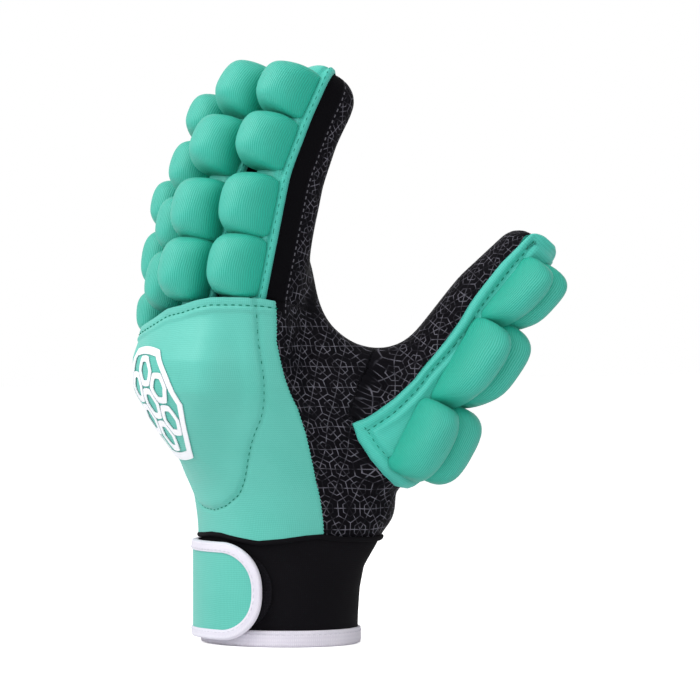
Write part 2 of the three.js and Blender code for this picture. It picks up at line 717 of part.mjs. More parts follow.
function makeThumb(handEnvelope) {
  const links = THUMB_LENGTH_SHARES.map((share) => share * THUMB_PAD_LENGTH);
  const outwardAt = (i) => half(THUMB_RISE[i - 1] - THUMB_RISE[i]) || 0;
  const groups = [];
  const place = thumbRoot();
  links.forEach((length, i) => {
    const group = pivot(`thumb_joint_${i}`, place.x, place.y, place.z);
    group.quaternion.setFromRotationMatrix(thumbAxes(THUMB_RISE[i]));
    group.updateMatrixWorld();
    place.set(0, 0, length).applyMatrix4(group.matrixWorld);
    groups.push(group);
    const [low, high] = [thumbSection(i), thumbSection(i + 1)];
    const title = `thumb_${THUMB_NAMES[i]}`;
    const last = i === links.length - 1;
    const slopes = { front: half(THUMB_BEND), back: 0, outward: outwardAt(i) };
    const away = { front: -half(THUMB_BEND), back: 0, outward: -outwardAt(i + 1) };
    const clear = (geometry) => {
      const solid = toSolid(geometry.clone().applyMatrix4(group.matrixWorld)).subtract(handEnvelope);
      return fromSolid(solid).applyMatrix4(group.matrixWorld.clone().invert());
    };
    let sleeve;
    if (i === 0) {
      const end = length - SEAT_GAP / 2;
      sleeve = clear(
        skin([
          ...rootRings(0),
          ovalRing(high, end, away, 0),
          ovalRing(high, end, away, LEATHER),
          ...rootRings(LEATHER).reverse(),
        ]),
      );
    } else {
      sleeve = last ? closedSleeve(low, high, length, slopes) : openSleeve(low, high, length, slopes, away);
    }
    group.add(named(`${title}_sleeve`, sleeve, LEATHER_BLACK));
    const guard = makeGuard(low, high, length, GUARD_NEAR[i], slopes, away);
    group.add(named(`${title}_guard`, i === 0 ? clear(guard) : guard, MINT));
    const distance = low.back * GUARD_CLEAR_SHARE + GUARD_THICK + 2 * SEAT_GAP;
    [-THUMB_PAD_TURN, THUMB_PAD_TURN].forEach((turn, side) => {
      const halfWidth = THUMB_PAD_WIDTH_SHARE * distance * Math.tan(rad(THUMB_PAD_TURN));
      const reach = distance + THUMB_PAD_THICK;
      const start = SEAT_GAP / 2 + reach * slopes.outward;
      const end = length - SEAT_GAP / 2 + reach * away.outward;
      const body = cushion(halfWidth, (end - start) / 2, THUMB_PAD_THICK);
      const pad = named(`thumb_pad_${i + 1}_${SIDE_NAMES[side]}`, body, MINT);
      group.add(standPad(pad, distance, (start + end) / 2, turn));
    });
  });
  groups[1].attach(groups[2]);
  groups[0].attach(groups[1]);
  return groups[0];
}

// The palm, with a hole where the thumb goes through.
function makePalm() {
  const panel = handWall(
    (height) => radialSeam(height) + gapAngle,
    () => ULNAR_SEAM - gapAngle,
    PALM_STEPS,
    () => 0,
    () => -LEATHER,
    handBottom,
    topEdge,
  );
  const root = pivot("", ...thumbRoot().toArray());
  root.quaternion.setFromRotationMatrix(thumbAxes(THUMB_RISE[0]));
  root.updateMatrixWorld();
  const section = thumbSection(0);
  const flat = { front: 0, back: 0 };
  const hole = skin(
    [ovalRing(section, -OVERRUN, flat, LEATHER), ovalRing(section, THUMB_PAD_LENGTH, flat, LEATHER)],
    new THREE.Vector3(0, 0, -OVERRUN),
    new THREE.Vector3(0, 0, THUMB_PAD_LENGTH),
  ).applyMatrix4(root.matrixWorld);
  const open = toSolid(panel).subtract(toSolid(hole));
  const cut = knuckles.reduce((solid, knuckle) => solid.subtract(bendRoom(knuckle)), open);
  return named("palm_panel", fromSolid(cut), LEATHER_BLACK);
}

// What a bent finger needs clear of the palm's edge: all that lies above the plane where its sleeve comes
// to rest.
function bendRoom({ place, lean, girthShare }) {
  const [depth, width] = [2 * SLEEVE_FRONT, 2 * (SLEEVE_HALF_WIDTH * girthShare + FACET_GAP)];
  const box = new THREE.BoxGeometry(depth, width, PAD_LENGTH);
  box.translate(depth / 2, 0, PAD_LENGTH / 2 - SEAT_GAP);
  box.rotateY(rad(lean[0] + KNUCKLE_BEND / 2));
  return toSolid(box.translate(place.x, place.y, place.z));
}

// The hand as one full solid, a little larger than it is, for clearing what meets it.
function makeEnvelope() {
  const rings = HAND_ROW_SHARES.map(([height]) => {
    const z = CUFF_HEIGHT + height * PALM_LENGTH;
    return Array.from({ length: ENVELOPE_SIDES }, (_, j) =>
      onSection(handSection(z), (360 * j) / ENVELOPE_SIDES, FACET_GAP, z),
    );
  });
  const middle = (z) => new THREE.Vector3(handSection(z).x, 0, z);
  return toSolid(skin(rings, middle(CUFF_HEIGHT), middle(CUFF_HEIGHT + PALM_LENGTH)));
}

const hand = new THREE.Group();
hand.add(makePalm(), makeBackShell(), makeBackPad(), makeCuff(), makeBinding(), makeLoopPatch());

const sewnEnd = onWrist(STRAP_SEWN_END, strapOut, strapTop / 2);
const fold = onWrist(STRAP_FOLD, tipOut + STRAP_THICK, strapTop / 2);
const strap = pivot("strap_sewn_end", sewnEnd.x, sewnEnd.y, 0);
const strapFold = pivot("strap_fold", fold.x, fold.y, 0);
strap.attach(strapFold);
strap.attach(makeStrapBand());
strapFold.attach(makeStrapTip());
strapFold.attach(makeHookPatch());
hand.add(strap);

Object.entries(FINGERS).forEach(([name, finger]) => hand.add(makeFinger(name, finger)));
hand.add(makeThumb(makeEnvelope()));

// The glove stands in the middle of its own outline, with its rim on the ground.
const bounds = new THREE.Box3().setFromObject(hand, true);
hand.position.set(-(bounds.min.x + bounds.max.x) / 2, -(bounds.min.y + bounds.max.y) / 2, -bounds.min.z);

const glove = new THREE.Group();
glove.add(hand);
export default glove;
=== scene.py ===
# %% [markdown]
# # A field hockey glove
# A padded glove for the left hand: a black inner glove of leather and stretch cloth, mint foam pads in a
# knit cover on the back of every finger, a broad padded guard on the thumb, and a strapped wrist. The
# solid model gives the places of the joints and the room that every piece has, and this notebook makes
# the fabric that is sewn round it.

# %% The frame
import json
import math
from functools import partial

import bmesh
import bpy
import numpy as np
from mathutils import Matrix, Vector
from mathutils.bvhtree import BVHTree


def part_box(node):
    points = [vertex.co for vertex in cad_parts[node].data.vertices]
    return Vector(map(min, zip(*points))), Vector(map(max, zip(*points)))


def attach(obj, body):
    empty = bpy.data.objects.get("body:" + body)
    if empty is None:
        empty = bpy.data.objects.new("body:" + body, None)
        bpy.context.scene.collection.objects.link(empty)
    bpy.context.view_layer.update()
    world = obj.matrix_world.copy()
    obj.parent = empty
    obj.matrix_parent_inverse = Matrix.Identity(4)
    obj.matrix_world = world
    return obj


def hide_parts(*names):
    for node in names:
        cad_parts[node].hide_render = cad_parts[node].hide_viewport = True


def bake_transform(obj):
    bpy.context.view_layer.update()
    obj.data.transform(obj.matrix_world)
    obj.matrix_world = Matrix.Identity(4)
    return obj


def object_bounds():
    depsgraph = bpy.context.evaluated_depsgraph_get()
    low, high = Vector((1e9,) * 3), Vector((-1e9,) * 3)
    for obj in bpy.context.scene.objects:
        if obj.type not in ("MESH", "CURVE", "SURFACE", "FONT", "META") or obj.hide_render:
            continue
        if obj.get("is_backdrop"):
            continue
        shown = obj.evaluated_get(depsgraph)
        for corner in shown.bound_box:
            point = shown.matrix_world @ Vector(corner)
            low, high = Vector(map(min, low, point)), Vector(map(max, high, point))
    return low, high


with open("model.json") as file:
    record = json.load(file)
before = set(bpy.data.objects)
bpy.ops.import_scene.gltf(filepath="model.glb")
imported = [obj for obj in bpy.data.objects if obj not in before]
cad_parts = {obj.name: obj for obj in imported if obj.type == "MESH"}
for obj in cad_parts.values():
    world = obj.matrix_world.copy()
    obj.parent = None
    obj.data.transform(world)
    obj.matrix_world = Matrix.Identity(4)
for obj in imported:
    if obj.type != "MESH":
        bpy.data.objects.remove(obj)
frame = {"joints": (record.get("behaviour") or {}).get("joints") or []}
cad_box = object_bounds()

MM = 0.001
UP = np.array([0, 0, 1.0])
JOINTS = {joint["name"]: joint for joint in frame["joints"]}
joint_place = {name: np.array(joint["pos_m"]) for name, joint in JOINTS.items()}
rim_low, rim_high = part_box("cuff_binding")
WRIST = np.array([(rim_low.x + rim_high.x) / 2, (rim_low.y + rim_high.y) / 2, 0.0])

# %% [markdown]
# ## Lines, sheets and shells
# Sizes that change along the glove are read from short tables. Every piece is cut from a flat sheet and
# has an outside, an inside and a cut edge. So each surface is made once as a sheet of points with the
# thickness that the material has there, and one function closes it into a shell. A sheet that crosses a
# joint is cut into panels, one for each joint, because a panel can bend between two bodies only. The
# panels keep the normals of the whole sheet, so no line shows where they meet.

# %% Small sums
def unit(vectors):
    """Vectors of length one, along the last axis."""
    return vectors / np.maximum(np.linalg.norm(vectors, axis=-1, keepdims=True), 1e-12)


def read(table, value):
    """Reads a table of two columns at any value, with straight lines between its rows."""
    return np.interp(value, table[:, 0], table[:, 1])


def smooth_share(value, low, high):
    """0 below low, 1 above high, and smooth between."""
    t = np.clip((value - low) / (high - low), 0, 1)
    return t * t * (3 - 2 * t)


def ridge(value, at, width):
    """A soft ridge: 1 where a value is at its place, and nearly 0 from twice the width away."""
    return np.exp(-(((value - at) / width) ** 2))


def squarish(value, power):
    """A power of cosines or sines that keeps their sign, which squares up a round outline."""
    return np.sign(value) * np.abs(value) ** power


print("a third of the way up a smooth step", smooth_share(1 / 3, 0, 1))

# %% Lines and lengths
def pair(first, second):
    """Two sets of numbers side by side, such as the flat coordinates of cloth."""
    return np.stack(np.broadcast_arrays(first, second), axis=-1)


def ring_of(count, start=0, end=360):
    """Angles in degrees, spread evenly round a ring."""
    return np.linspace(start, end, count, endpoint=False)


def running(points, axis=0):
    """Running length of a line or a grid of points along one of its directions."""
    steps = np.linalg.norm(np.diff(points, axis=axis), axis=-1)
    start = np.zeros_like(np.take(points[..., 0], [0], axis=axis))
    return np.concatenate([start, np.cumsum(steps, axis=axis)], axis=axis)


def even_line(points, count, rounds=None):
    """Points spread evenly along a line of points, with its corners rounded."""
    points = np.asarray(points, float)
    length = running(points)
    t = np.linspace(0, length[-1], count)
    line = np.stack([np.interp(t, length, column) for column in points.T], axis=-1)
    for _ in range(count // 12 if rounds is None else rounds):
        line[1:-1] = (line[:-2] + 2 * line[1:-1] + line[2:]) / 4
    return line


print("points round a corner", even_line([[0, 0], [1, 0], [1, 1]], 3).tolist())

# %% Sheets
def grid_faces(rows, columns, closed=False):
    """Quads of a grid of points, row by row. A closed grid joins its last column to its first."""
    steps = columns if closed else columns - 1
    i, j = np.meshgrid(np.arange(rows - 1), np.arange(steps), indexing="ij")
    k = (j + 1) % columns
    quads = [i * columns + j, i * columns + k, (i + 1) * columns + k, (i + 1) * columns + j]
    return np.stack(quads, axis=-1).reshape(-1, 4).tolist()


def point_normals(points, faces):
    """Normals of the points of a mesh, from the faces round them."""
    total = np.zeros_like(points)
    for size in {len(face) for face in faces}:
        ring = np.array([face for face in faces if len(face) == size])
        corners = points[ring]
        normal = np.cross(corners[:, 2] - corners[:, 0], corners[:, -1] - corners[:, 1])
        for corner in range(size):
            np.add.at(total, ring[:, corner], normal)
    return unit(total)


class Sheet:
    """Points, faces that point outwards, normals, a thickness and flat cloth coordinates for every point."""

    def __init__(self, points, faces, thickness, flat, marks=None, normals=None):
        self.points = np.asarray(points, float)
        self.faces = faces
        self.thickness = np.broadcast_to(np.asarray(thickness, float), len(self.points)).copy()
        self.flat = np.asarray(flat, float)
        self.marks = marks or {}
        self.normals = point_normals(self.points, faces) if normals is None else normals

    def part(self, keep):
        """The panel whose faces the list keep marks."""
        faces = [face for face, kept in zip(self.faces, keep) if kept]
        used = sorted({index for face in faces for index in face})
        place = {old: new for new, old in enumerate(used)}
        moved = [[place[index] for index in face] for face in faces]
        marks = {name: values[used] for name, values in self.marks.items()}
        values = self.points[used], moved, self.thickness[used], self.flat[used]
        return Sheet(*values, marks, self.normals[used])

    def along(self):
        """How far along its bone the middle of each face is."""
        return np.array([self.marks["along"][face].mean() for face in self.faces])


def grid_sheet(points, thickness, flat, marks=None, closed=False):
    """A sheet from rows and columns of points, which run anticlockwise and up."""
    rows, columns = points.shape[:2]
    marks = {name: values.reshape(-1) for name, values in (marks or {}).items()}
    thickness = np.broadcast_to(thickness, (rows, columns)).reshape(-1)
    faces = grid_faces(rows, columns, closed)
    return Sheet(points.reshape(-1, 3), faces, thickness, flat.reshape(-1, 2), marks)


square = np.array([[[0, 0, 0], [1, 0, 0]], [[0, 1, 0], [1, 1, 0]]])
print("normal of a level sheet", grid_sheet(square, MM, square[..., :2]).normals[0])

# %% Meshes in the scene
def in_scene(name, data):
    """A new object in the scene."""
    item = bpy.data.objects.new(name, data)
    bpy.context.scene.collection.objects.link(item)
    return item


def lay_flat(mesh, flat):
    """Writes the cloth map of a mesh: where each point lies when the cloth is flat."""
    loops = np.zeros(len(mesh.loops), int)
    mesh.loops.foreach_get("vertex_index", loops)
    mesh.uv_layers.new(name="cloth").data.foreach_set("uv", flat[loops].ravel())


def put(name, points, faces, material=None, flat=None, marks=None, corner_normals=None):
    """A new smooth mesh in the scene, with its cloth map, its marks and its material."""
    mesh = bpy.data.meshes.new(name)
    mesh.from_pydata(points.tolist(), [], faces)
    mesh.validate()
    mesh.polygons.foreach_set("use_smooth", [True] * len(mesh.polygons))
    if corner_normals is not None:
        mesh.normals_split_custom_set([tuple(normal) for normal in corner_normals])
    if flat is not None:
        lay_flat(mesh, flat)
    for mark, values in (marks or {}).items():
        mesh.attributes.new(mark, "FLOAT", "POINT").data.foreach_set("value", values.astype(np.float32))
    if material is not None:
        mesh.materials.append(material)
    return in_scene(name, mesh)


def shell(name, sheet, material):
    """Closes a sheet into a shell: outside, inside and the cut edges between them."""
    count = len(sheet.points)
    points = np.vstack([sheet.points, sheet.points - sheet.normals * sheet.thickness[:, None]])
    seen = {(a, b): True for face in sheet.faces for a, b in zip(face, face[1:] + face[:1])}
    rims = [[a, a + count, b + count, b] for a, b in seen if (b, a) not in seen]
    backs = [[index + count for index in reversed(face)] for face in sheet.faces]
    normals = [sheet.normals[index] for face in sheet.faces for index in face]
    normals += [-sheet.normals[index - count] for face in backs for index in face]
    for a, c, _, b in rims:
        normals += [unit(np.cross(points[c] - points[a], points[b] - points[a]))] * 4
    marks = {mark: np.concatenate([values, values]) for mark, values in sheet.marks.items()}
    flat = np.vstack([sheet.flat, sheet.flat])
    return put(name, points, sheet.faces + backs + rims, material, flat, marks, normals)


# %% [markdown]
# ## The hand inside
# The hand is an oval whose size, lean and bulge change with height. The same few sizes that the solid
# model is made from give its outline at any height, so that cloth laid over it meets the solids. They are
# smoothed with height, because cloth has no corners there.

# %% The outline of the hand
CUFF_HEIGHT = 44 * MM
PALM_LENGTH = 97 * MM
HAND_SIZES = np.array([-24 * MM, 27 * MM, 30 * MM, 46 * MM, 29 * MM, -52, 25])
# A height as a share of the palm, and there the share of each size: lean, back, palm, half width, ball of
# the thumb, the direction of that ball and its spread.
HAND_ROW_SHARES = np.array([
    [0, 0.08, 1.06, 1, 0.88, 0.45, 1, 1],
    [0.08, 0.12, 1.03, 1, 0.9, 0.75, 1, 1],
    [0.19, 0.2, 1.02, 0.97, 0.92, 0.85, 1, 1],
    [0.33, 0.38, 1.06, 0.9, 0.95, 0.92, 1, 1],
    [0.47, 0.62, 1.1, 0.82, 0.98, 1.04, 0.98, 0.95],
    [0.62, 0.82, 1.14, 0.72, 1, 1.22, 0.93, 0.85],
    [0.74, 0.9, 1.1, 0.62, 1.02, 1.3, 0.9, 0.75],
    [0.845, 0.94, 1, 0.55, 1.03, 1.02, 0.95, 0.75],
    [0.93, 0.98, 0.96, 0.5, 1.03, 0.55, 1, 0.8],
    [1, 1.04, 0.93, 0.46, 1.03, 0.25, 1, 0.8],
    [1.1, 1.1, 0.9, 0.42, 1.03, 0, 1, 0.8],
])
KNUCKLE_SKEW = 0.1
SMOOTHING = 0.045
KERNEL_HALF = 20

share_steps = np.linspace(-0.2, 1.2, 561)
kernel_steps = (np.arange(2 * KERNEL_HALF + 1) - KERNEL_HALF) * (share_steps[1] - share_steps[0])
kernel = ridge(kernel_steps, 0, SMOOTHING)
hand_columns = []
for size, shares in zip(HAND_SIZES, HAND_ROW_SHARES.T[1:]):
    raw = np.pad(np.interp(share_steps, HAND_ROW_SHARES[:, 0], shares) * size, KERNEL_HALF, mode="edge")
    hand_columns.append(np.convolve(raw, kernel / kernel.sum(), mode="valid"))


def hand_point(angle, height, out=0.0):
    """Points on or off the hand, by angle in degrees (0 palm, -90 thumb side, -180 back) and height."""
    angle, height, out = np.broadcast_arrays(np.asarray(angle, float), height, out)
    share = (height - CUFF_HEIGHT) / PALM_LENGTH
    sizes = [np.interp(share, share_steps, column) for column in hand_columns]
    lean, back, palm, width, ball, turn, spread = sizes
    c, s = np.cos(np.radians(angle)), np.sin(np.radians(angle))
    away = ((angle - turn + 540) % 360 - 180) / spread
    radius = 1 / np.hypot(c / np.where(c < 0, back, palm), s / width) + ball * np.exp(-away * away) + out
    return np.stack([lean + radius * (c + KNUCKLE_SKEW * s), radius * s, height], axis=-1) + WRIST


print("heel of the hand", hand_point(0, CUFF_HEIGHT))

# %% [markdown]
# ## The fingers and the thumb
# Each finger is a tube round its bones. The joints of the solid model give the bones' places, and the
# tube curves gently from one to the next. A finger's outline is a squarish oval that is deeper on the
# palm side, and it closes with a round tip.

# %% Bones
BEND_LENGTH = 14 * MM
STEP = 0.5 * MM


class Bone:
    """A curved line with a direction out of the palm at every step, and the outline of the tube round it."""

    def __init__(self, start, lengths, leans, forward, side, sizes, round_power, tip_round, before=12 * MM):
        self.lengths = lengths
        self.total = sum(lengths)
        self.before = before
        self.steps = np.arange(-before, self.total + STEP, STEP)
        lean = np.full(len(self.steps), float(leans[0]))
        for place, (a, b) in zip(np.cumsum(lengths)[:-1], zip(leans, leans[1:])):
            t = np.clip((self.steps - place) / BEND_LENGTH + 0.5, 0, 1)
            lean += (b - a) * t * t * (3 - 2 * t)
        lean = np.radians(lean)
        self.along = np.sin(lean)[:, None] * forward + np.cos(lean)[:, None] * UP
        moved = np.cumsum(self.along * STEP, axis=0)
        self.line = start + moved - moved[int(round(before / STEP))]
        self.side = np.broadcast_to(side, self.line.shape)
        self.front = unit(np.cross(self.side, self.along))
        self.sizes = sizes
        self.round_power = round_power
        self.tip_round = tip_round

    def at(self, s, values):
        """What the bone's values are at a distance along it."""
        return np.stack([np.interp(s, self.steps, column) for column in values.T], axis=-1)

    def point(self, s, turn, out=0.0):
        """Points on the tube: s along the bone, turn round it (0 palm side, 180 back), distance outside."""
        s, turn, out = np.broadcast_arrays(np.asarray(s, float), turn, out)
        width, back, front = self.sizes(s)
        rise = np.clip((s - (self.total - self.tip_round)) / (self.tip_round + out), 0, 1)
        shrink = np.sqrt(np.maximum(1 - rise ** 2.3, 0))
        c, d = np.cos(np.radians(turn)), np.sin(np.radians(turn))
        x = squarish(c, 2 / self.round_power) * (np.where(c > 0, front, back) + out) * shrink
        y = squarish(d, 2 / self.round_power) * (width + out) * shrink
        points = self.at(s, self.line) + x[..., None] * self.at(s, self.front)
        return points + y[..., None] * self.at(s, self.side)

    def stations(self, start, step, rings, end_gap):
        """Distances along the bone: even steps, then closer ones over the round tip."""
        straight = np.arange(start, self.total - self.tip_round, step)
        dome = self.total - self.tip_round * (1 - np.sin(np.linspace(0, math.pi / 2, rings)))
        return np.concatenate([straight, np.minimum(dome, self.total - end_gap)])

    def find(self, points, block=4000):
        """For each point: how far along the bone it is, towards the palm, and sideways."""
        nearest = np.zeros(len(points), int)
        for first in range(0, len(points), block):
            some = points[first : first + block]
            gaps = ((some[:, None, :] - self.line[None, ::2, :]) ** 2).sum(axis=-1)
            nearest[first : first + block] = gaps.argmin(axis=1) * 2
        away = points - self.line[nearest]
        s = self.steps[nearest] + (away * self.along[nearest]).sum(axis=-1)
        return s, (away * self.front[nearest]).sum(axis=-1), (away * self.side[nearest]).sum(axis=-1)


print("a bone has a step every", STEP, "and bends over", BEND_LENGTH)

# %% Bones of the fingers
SLEEVE_HALF_WIDTH = 9.7 * MM
SLEEVE_BACK = 12 * MM
SLEEVE_FRONT = 14.5 * MM
SLEEVE_ROUND = 2.6
TIP_ROUND = 11 * MM
FINGERS = {
    "index": {"tip_lean": 28, "tip_length": 22.9 * MM, "girth": 1.0, "pads": [26.5, 26, 23.9, 22.9]},
    "middle": {"tip_lean": 35, "tip_length": 23.9 * MM, "girth": 1.0, "pads": [25.5, 25.5, 24.7, 23.9]},
    "ring": {"tip_lean": 25, "tip_length": 20 * MM, "girth": 0.93, "pads": [23.4, 22.9, 21.6, 20]},
    "little": {"tip_lean": 15, "tip_length": 19.8 * MM, "girth": 0.82, "pads": [17.9, 23.4, 19.8]},
}
FRONT_SHARES = np.array([[0, 1.0], [0.3, 0.93], [0.55, 0.86], [0.72, 0.8], [0.86, 0.84], [1, 0.78]])


def finger_bone(name):
    """A finger's bone, laid through its three joints, with the outline of its sleeve."""
    facts = FINGERS[name]
    places = [joint_place[f"{name}_{joint}_bend"] for joint in ("knuckle", "middle", "tip")]
    spans = [places[1] - places[0], places[2] - places[1]]
    leans = [math.degrees(math.atan2(span[0], span[2])) for span in spans] + [facts["tip_lean"]]
    lengths = [float(np.linalg.norm(span)) for span in spans] + [facts["tip_length"]]
    total = sum(lengths)
    girth = facts["girth"]

    def sizes(s):
        front = SLEEVE_FRONT * girth * read(FRONT_SHARES, s / total)
        return SLEEVE_HALF_WIDTH * girth, SLEEVE_BACK * girth, front

    palmward, sideways = np.array([1.0, 0, 0]), np.array([0, 1.0, 0])
    return Bone(places[0], lengths, leans, palmward, sideways, sizes, SLEEVE_ROUND, TIP_ROUND * girth)


bones = {name: finger_bone(name) for name in FINGERS}
print({name: round(bone.total, 4) for name, bone in bones.items()})

# %% The thumb's bone
THUMB_LENGTHS = [35.3 * MM, 37.1 * MM, 36.6 * MM]
THUMB_LEANS = [29, 34, 42]
THUMB_FACING = math.radians(32)
THUMB_ROLL = math.radians(37)
THUMB_RADII = np.array([8, 13.5, 17, 14.5, 12, 8.8]) * MM
THUMB_RADIUS_AT = np.concatenate([[-16 * MM, -8 * MM, 0], np.cumsum(THUMB_LENGTHS)])
THUMB_ROUND = 2.1
THUMB_TIP_ROUND = 9.5 * MM


def thumb_sizes(s):
    """The radius of the thumb at a distance along it, which is the same to every side."""
    return [np.interp(s, THUMB_RADIUS_AT, THUMB_RADII)] * 3


level = np.array([math.cos(THUMB_FACING), -math.sin(THUMB_FACING), 0])
behind = np.array([math.sin(THUMB_FACING), math.cos(THUMB_FACING), 0])
first_lean = math.radians(THUMB_LEANS[0])
first_along = math.sin(first_lean) * level + math.cos(first_lean) * UP
thumb_root = joint_place["thumb_knuckle_bend"] - THUMB_LENGTHS[0] * first_along
thumb = Bone(
    thumb_root, THUMB_LENGTHS, THUMB_LEANS, level, -behind, thumb_sizes, THUMB_ROUND, THUMB_TIP_ROUND,
    before=16 * MM)
straight_front = thumb.front.copy()
thumb.front = straight_front * math.cos(THUMB_ROLL) - thumb.side * math.sin(THUMB_ROLL)
thumb.side = thumb.side * math.cos(THUMB_ROLL) + straight_front * math.sin(THUMB_ROLL)
limbs = {**bones, "thumb": thumb}
print("thumb tip", thumb.line[-1])

# %% [markdown]
# ## The inner glove
# The black inner glove is one soft form: the hand, four fingers and a thumb that run into each other.
# Modelling those forks by hand is slow, so the parts are made as simple closed tubes, joined by a voxel
# remesh, and the creases at the forks are relaxed by averaging each point with its neighbours.

# %% Rings of the hand, the fingers and the web
KNUCKLES = np.array(sorted(tuple(joint_place[f"{name}_knuckle_bend"][1:]) for name in FINGERS))
EDGE_DROP = 4 * MM
# The web of skin from the index finger over to the thumb: a fat cord of cloth, as points out from the
# thumb's root and up from it.
WEB = np.array([
    [-38, 86], [-35.5, 72], [-33.5, 60], [-28, 48], [-16, 38], [-3, 34.5], [9, 36], [19, 42.5], [26.5, 52],
]) * MM
WEB_RADIUS = 9 * MM
WEB_DEPTHS = np.array([2, 1, 0, -1, -1, 0, 0, 0, 0]) * MM


def knuckle_height(y):
    """Height of the line of knuckles, which falls towards the little finger."""
    ys, zs = KNUCKLES.T
    places = [ys[0] - 25 * MM, *ys, ys[-1] + 18 * MM]
    return np.interp(y, places, [zs[0] - EDGE_DROP, *zs, zs[-1] - EDGE_DROP])


def hand_rings(bottom, columns=96, rows=60):
    """Rings of the hand from below the wrist up to its knuckles, with a low dome."""
    angles = ring_of(columns, -180, 180)
    top = knuckle_height(hand_point(angles, CUFF_HEIGHT + PALM_LENGTH)[:, 1]) + 1.5 * MM
    rings = hand_point(angles[None, :], bottom + (top[None, :] - bottom) * np.linspace(0, 1, rows)[:, None])
    cap = rings[-1].mean(axis=0)
    domes = [cap + (rings[-1] - cap) * size + UP * rise * MM for size, rise in ((0.93, 1.2), (0.7, 2))]
    return np.concatenate([rings, domes])


def bone_rings(bone, columns=40):
    """Rings of the tube round a bone, from inside the hand to the tip."""
    stations = bone.stations(-bone.before, 1.2 * MM, 12, 0.05 * MM)
    return bone.point(stations[:, None], ring_of(columns)[None, :])


def cord_rings(line, radius, columns=16, count=60):
    """Rings of a round cord that follows a line and thins to both ends."""
    middle = even_line(line, count, rounds=12)
    length = running(line)[-1]
    t = np.linspace(0, length, count)
    forward = unit(np.gradient(middle, axis=0))
    out = unit(np.cross(forward, -behind))
    across = np.cross(forward, out)
    turn = np.radians(ring_of(columns))[:, None]
    size = radius * np.sqrt(np.clip(np.minimum(t, length - t) / radius, 0.02, 1))
    ring = np.cos(turn)[None] * out[:, None] + np.sin(turn)[None] * across[:, None]
    return middle[:, None] + ring * size[:, None, None]


web_line = thumb_root + WEB[:, :1] * level + WEB[:, 1:] * UP + WEB_DEPTHS[:, None] * behind
rings = [hand_rings(CUFF_HEIGHT - 12 * MM), cord_rings(web_line, WEB_RADIUS)]
rings += [bone_rings(bone) for bone in limbs.values()]
print("tubes", len(rings))

# %% The joined form
VOXEL = 1.25 * MM


def closed_tube(rings, ends=None):
    """Points and faces of a stack of rings with a fan at each end, round two end points."""
    rows, columns = rings.shape[:2]
    ends = [rings[0].mean(axis=0), rings[-1].mean(axis=0)] if ends is None else ends
    faces = grid_faces(rows, columns, closed=True)
    first = rows * columns
    for j in range(columns):
        k = (j + 1) % columns
        faces.append([first, k, j])
        faces.append([first + 1, first - columns + j, first - columns + k])
    return np.vstack([rings.reshape(-1, 3), ends]), faces


def joined(meshes):
    """The points and faces of several meshes as one."""
    starts = np.cumsum([0] + [len(points) for points, _ in meshes]).tolist()
    faces = [[start + index for index in face] for start, (_, some) in zip(starts, meshes) for face in some]
    return np.vstack([points for points, _ in meshes]), faces


def bake(item):
    """Puts what an object's modifiers make of its mesh in that mesh's place."""
    mesh = bpy.data.meshes.new_from_object(item.evaluated_get(bpy.context.evaluated_depsgraph_get()))
    item.modifiers.clear()
    item.data = mesh
    return mesh


def remesh(item, size):
    """Gives an object one closed skin of even cells round all that its faces enclose."""
    modifier = item.modifiers.new("even cells", "REMESH")
    modifier.mode = "VOXEL"
    modifier.voxel_size = size
    return bake(item)


def taken(item):
    """Takes an object out of the scene, and gives the points and faces that its modifiers have made."""
    mesh = bake(item)
    points = np.array([vertex.co[:] for vertex in mesh.vertices])
    faces = [list(face.vertices) for face in mesh.polygons]
    bpy.data.objects.remove(item)
    return points, faces


tubes = put("tubes", *joined([closed_tube(stack) for stack in rings]))
remesh(tubes, VOXEL)
form_points, form_faces = taken(tubes)
print("joined form", len(form_points), "points")

# %% Relaxing the forks
def tree_of(points, faces):
    """A tree that rays can be cast at."""
    return BVHTree.FromPolygons(points.tolist(), faces)


def relaxed(points, faces, weights, rounds):
    """Moves each point towards the middle of its neighbours, by its own weight, several times."""
    edges = {tuple(sorted(sides)) for face in faces for sides in zip(face, face[1:] + face[:1])}
    edges = np.array(sorted(edges))
    count = np.bincount(edges.ravel(), minlength=len(points))[:, None]
    for _ in range(rounds):
        total = np.zeros_like(points)
        np.add.at(total, edges[:, 0], points[edges[:, 1]])
        np.add.at(total, edges[:, 1], points[edges[:, 0]])
        points = points + weights[:, None] * (total / np.maximum(count, 1) - points)
    return points


# How much each point is relaxed: most at the roots of the fingers and the thumb, and in the web between
# them.
FINGER_REACH, THUMB_REACH = 22 * MM, 34 * MM
FORK_WEIGHT, FORK_ROUNDS = 0.5, 45
SKIN_WEIGHT, SKIN_ROUNDS = 0.4, 3
fork = np.zeros(len(form_points))
for bone in bones.values():
    s, x, y = bone.find(form_points)
    fork = np.maximum(fork, (np.hypot(x, y) < FINGER_REACH) * ridge(s, 0, 9 * MM))
s, x, y = thumb.find(form_points)
fork = np.maximum(fork, (np.hypot(x, y) < THUMB_REACH) * ridge(s, 4 * MM, 24 * MM))
from_web = np.min(np.linalg.norm(form_points[:, None] - web_line[None], axis=-1), axis=1)
fork = np.maximum(fork, 1 - smooth_share(from_web, 12 * MM, 24 * MM))
form_points = relaxed(form_points, form_faces, FORK_WEIGHT * fork, FORK_ROUNDS)
form_points = relaxed(form_points, form_faces, np.full(len(form_points), SKIN_WEIGHT), SKIN_ROUNDS)
form_tree = tree_of(form_points, form_faces)
print("inner glove", len(form_points), "points")

# %% [markdown]
# The form is now cut open at the wrist and marked for cutting into panels. Each point also gets the flat
# cloth coordinates that the printed pattern follows, and a mark that says how far it is inside the
# leather: the sides of the fingers are plain stretch cloth, and the leather covers only the palm side.

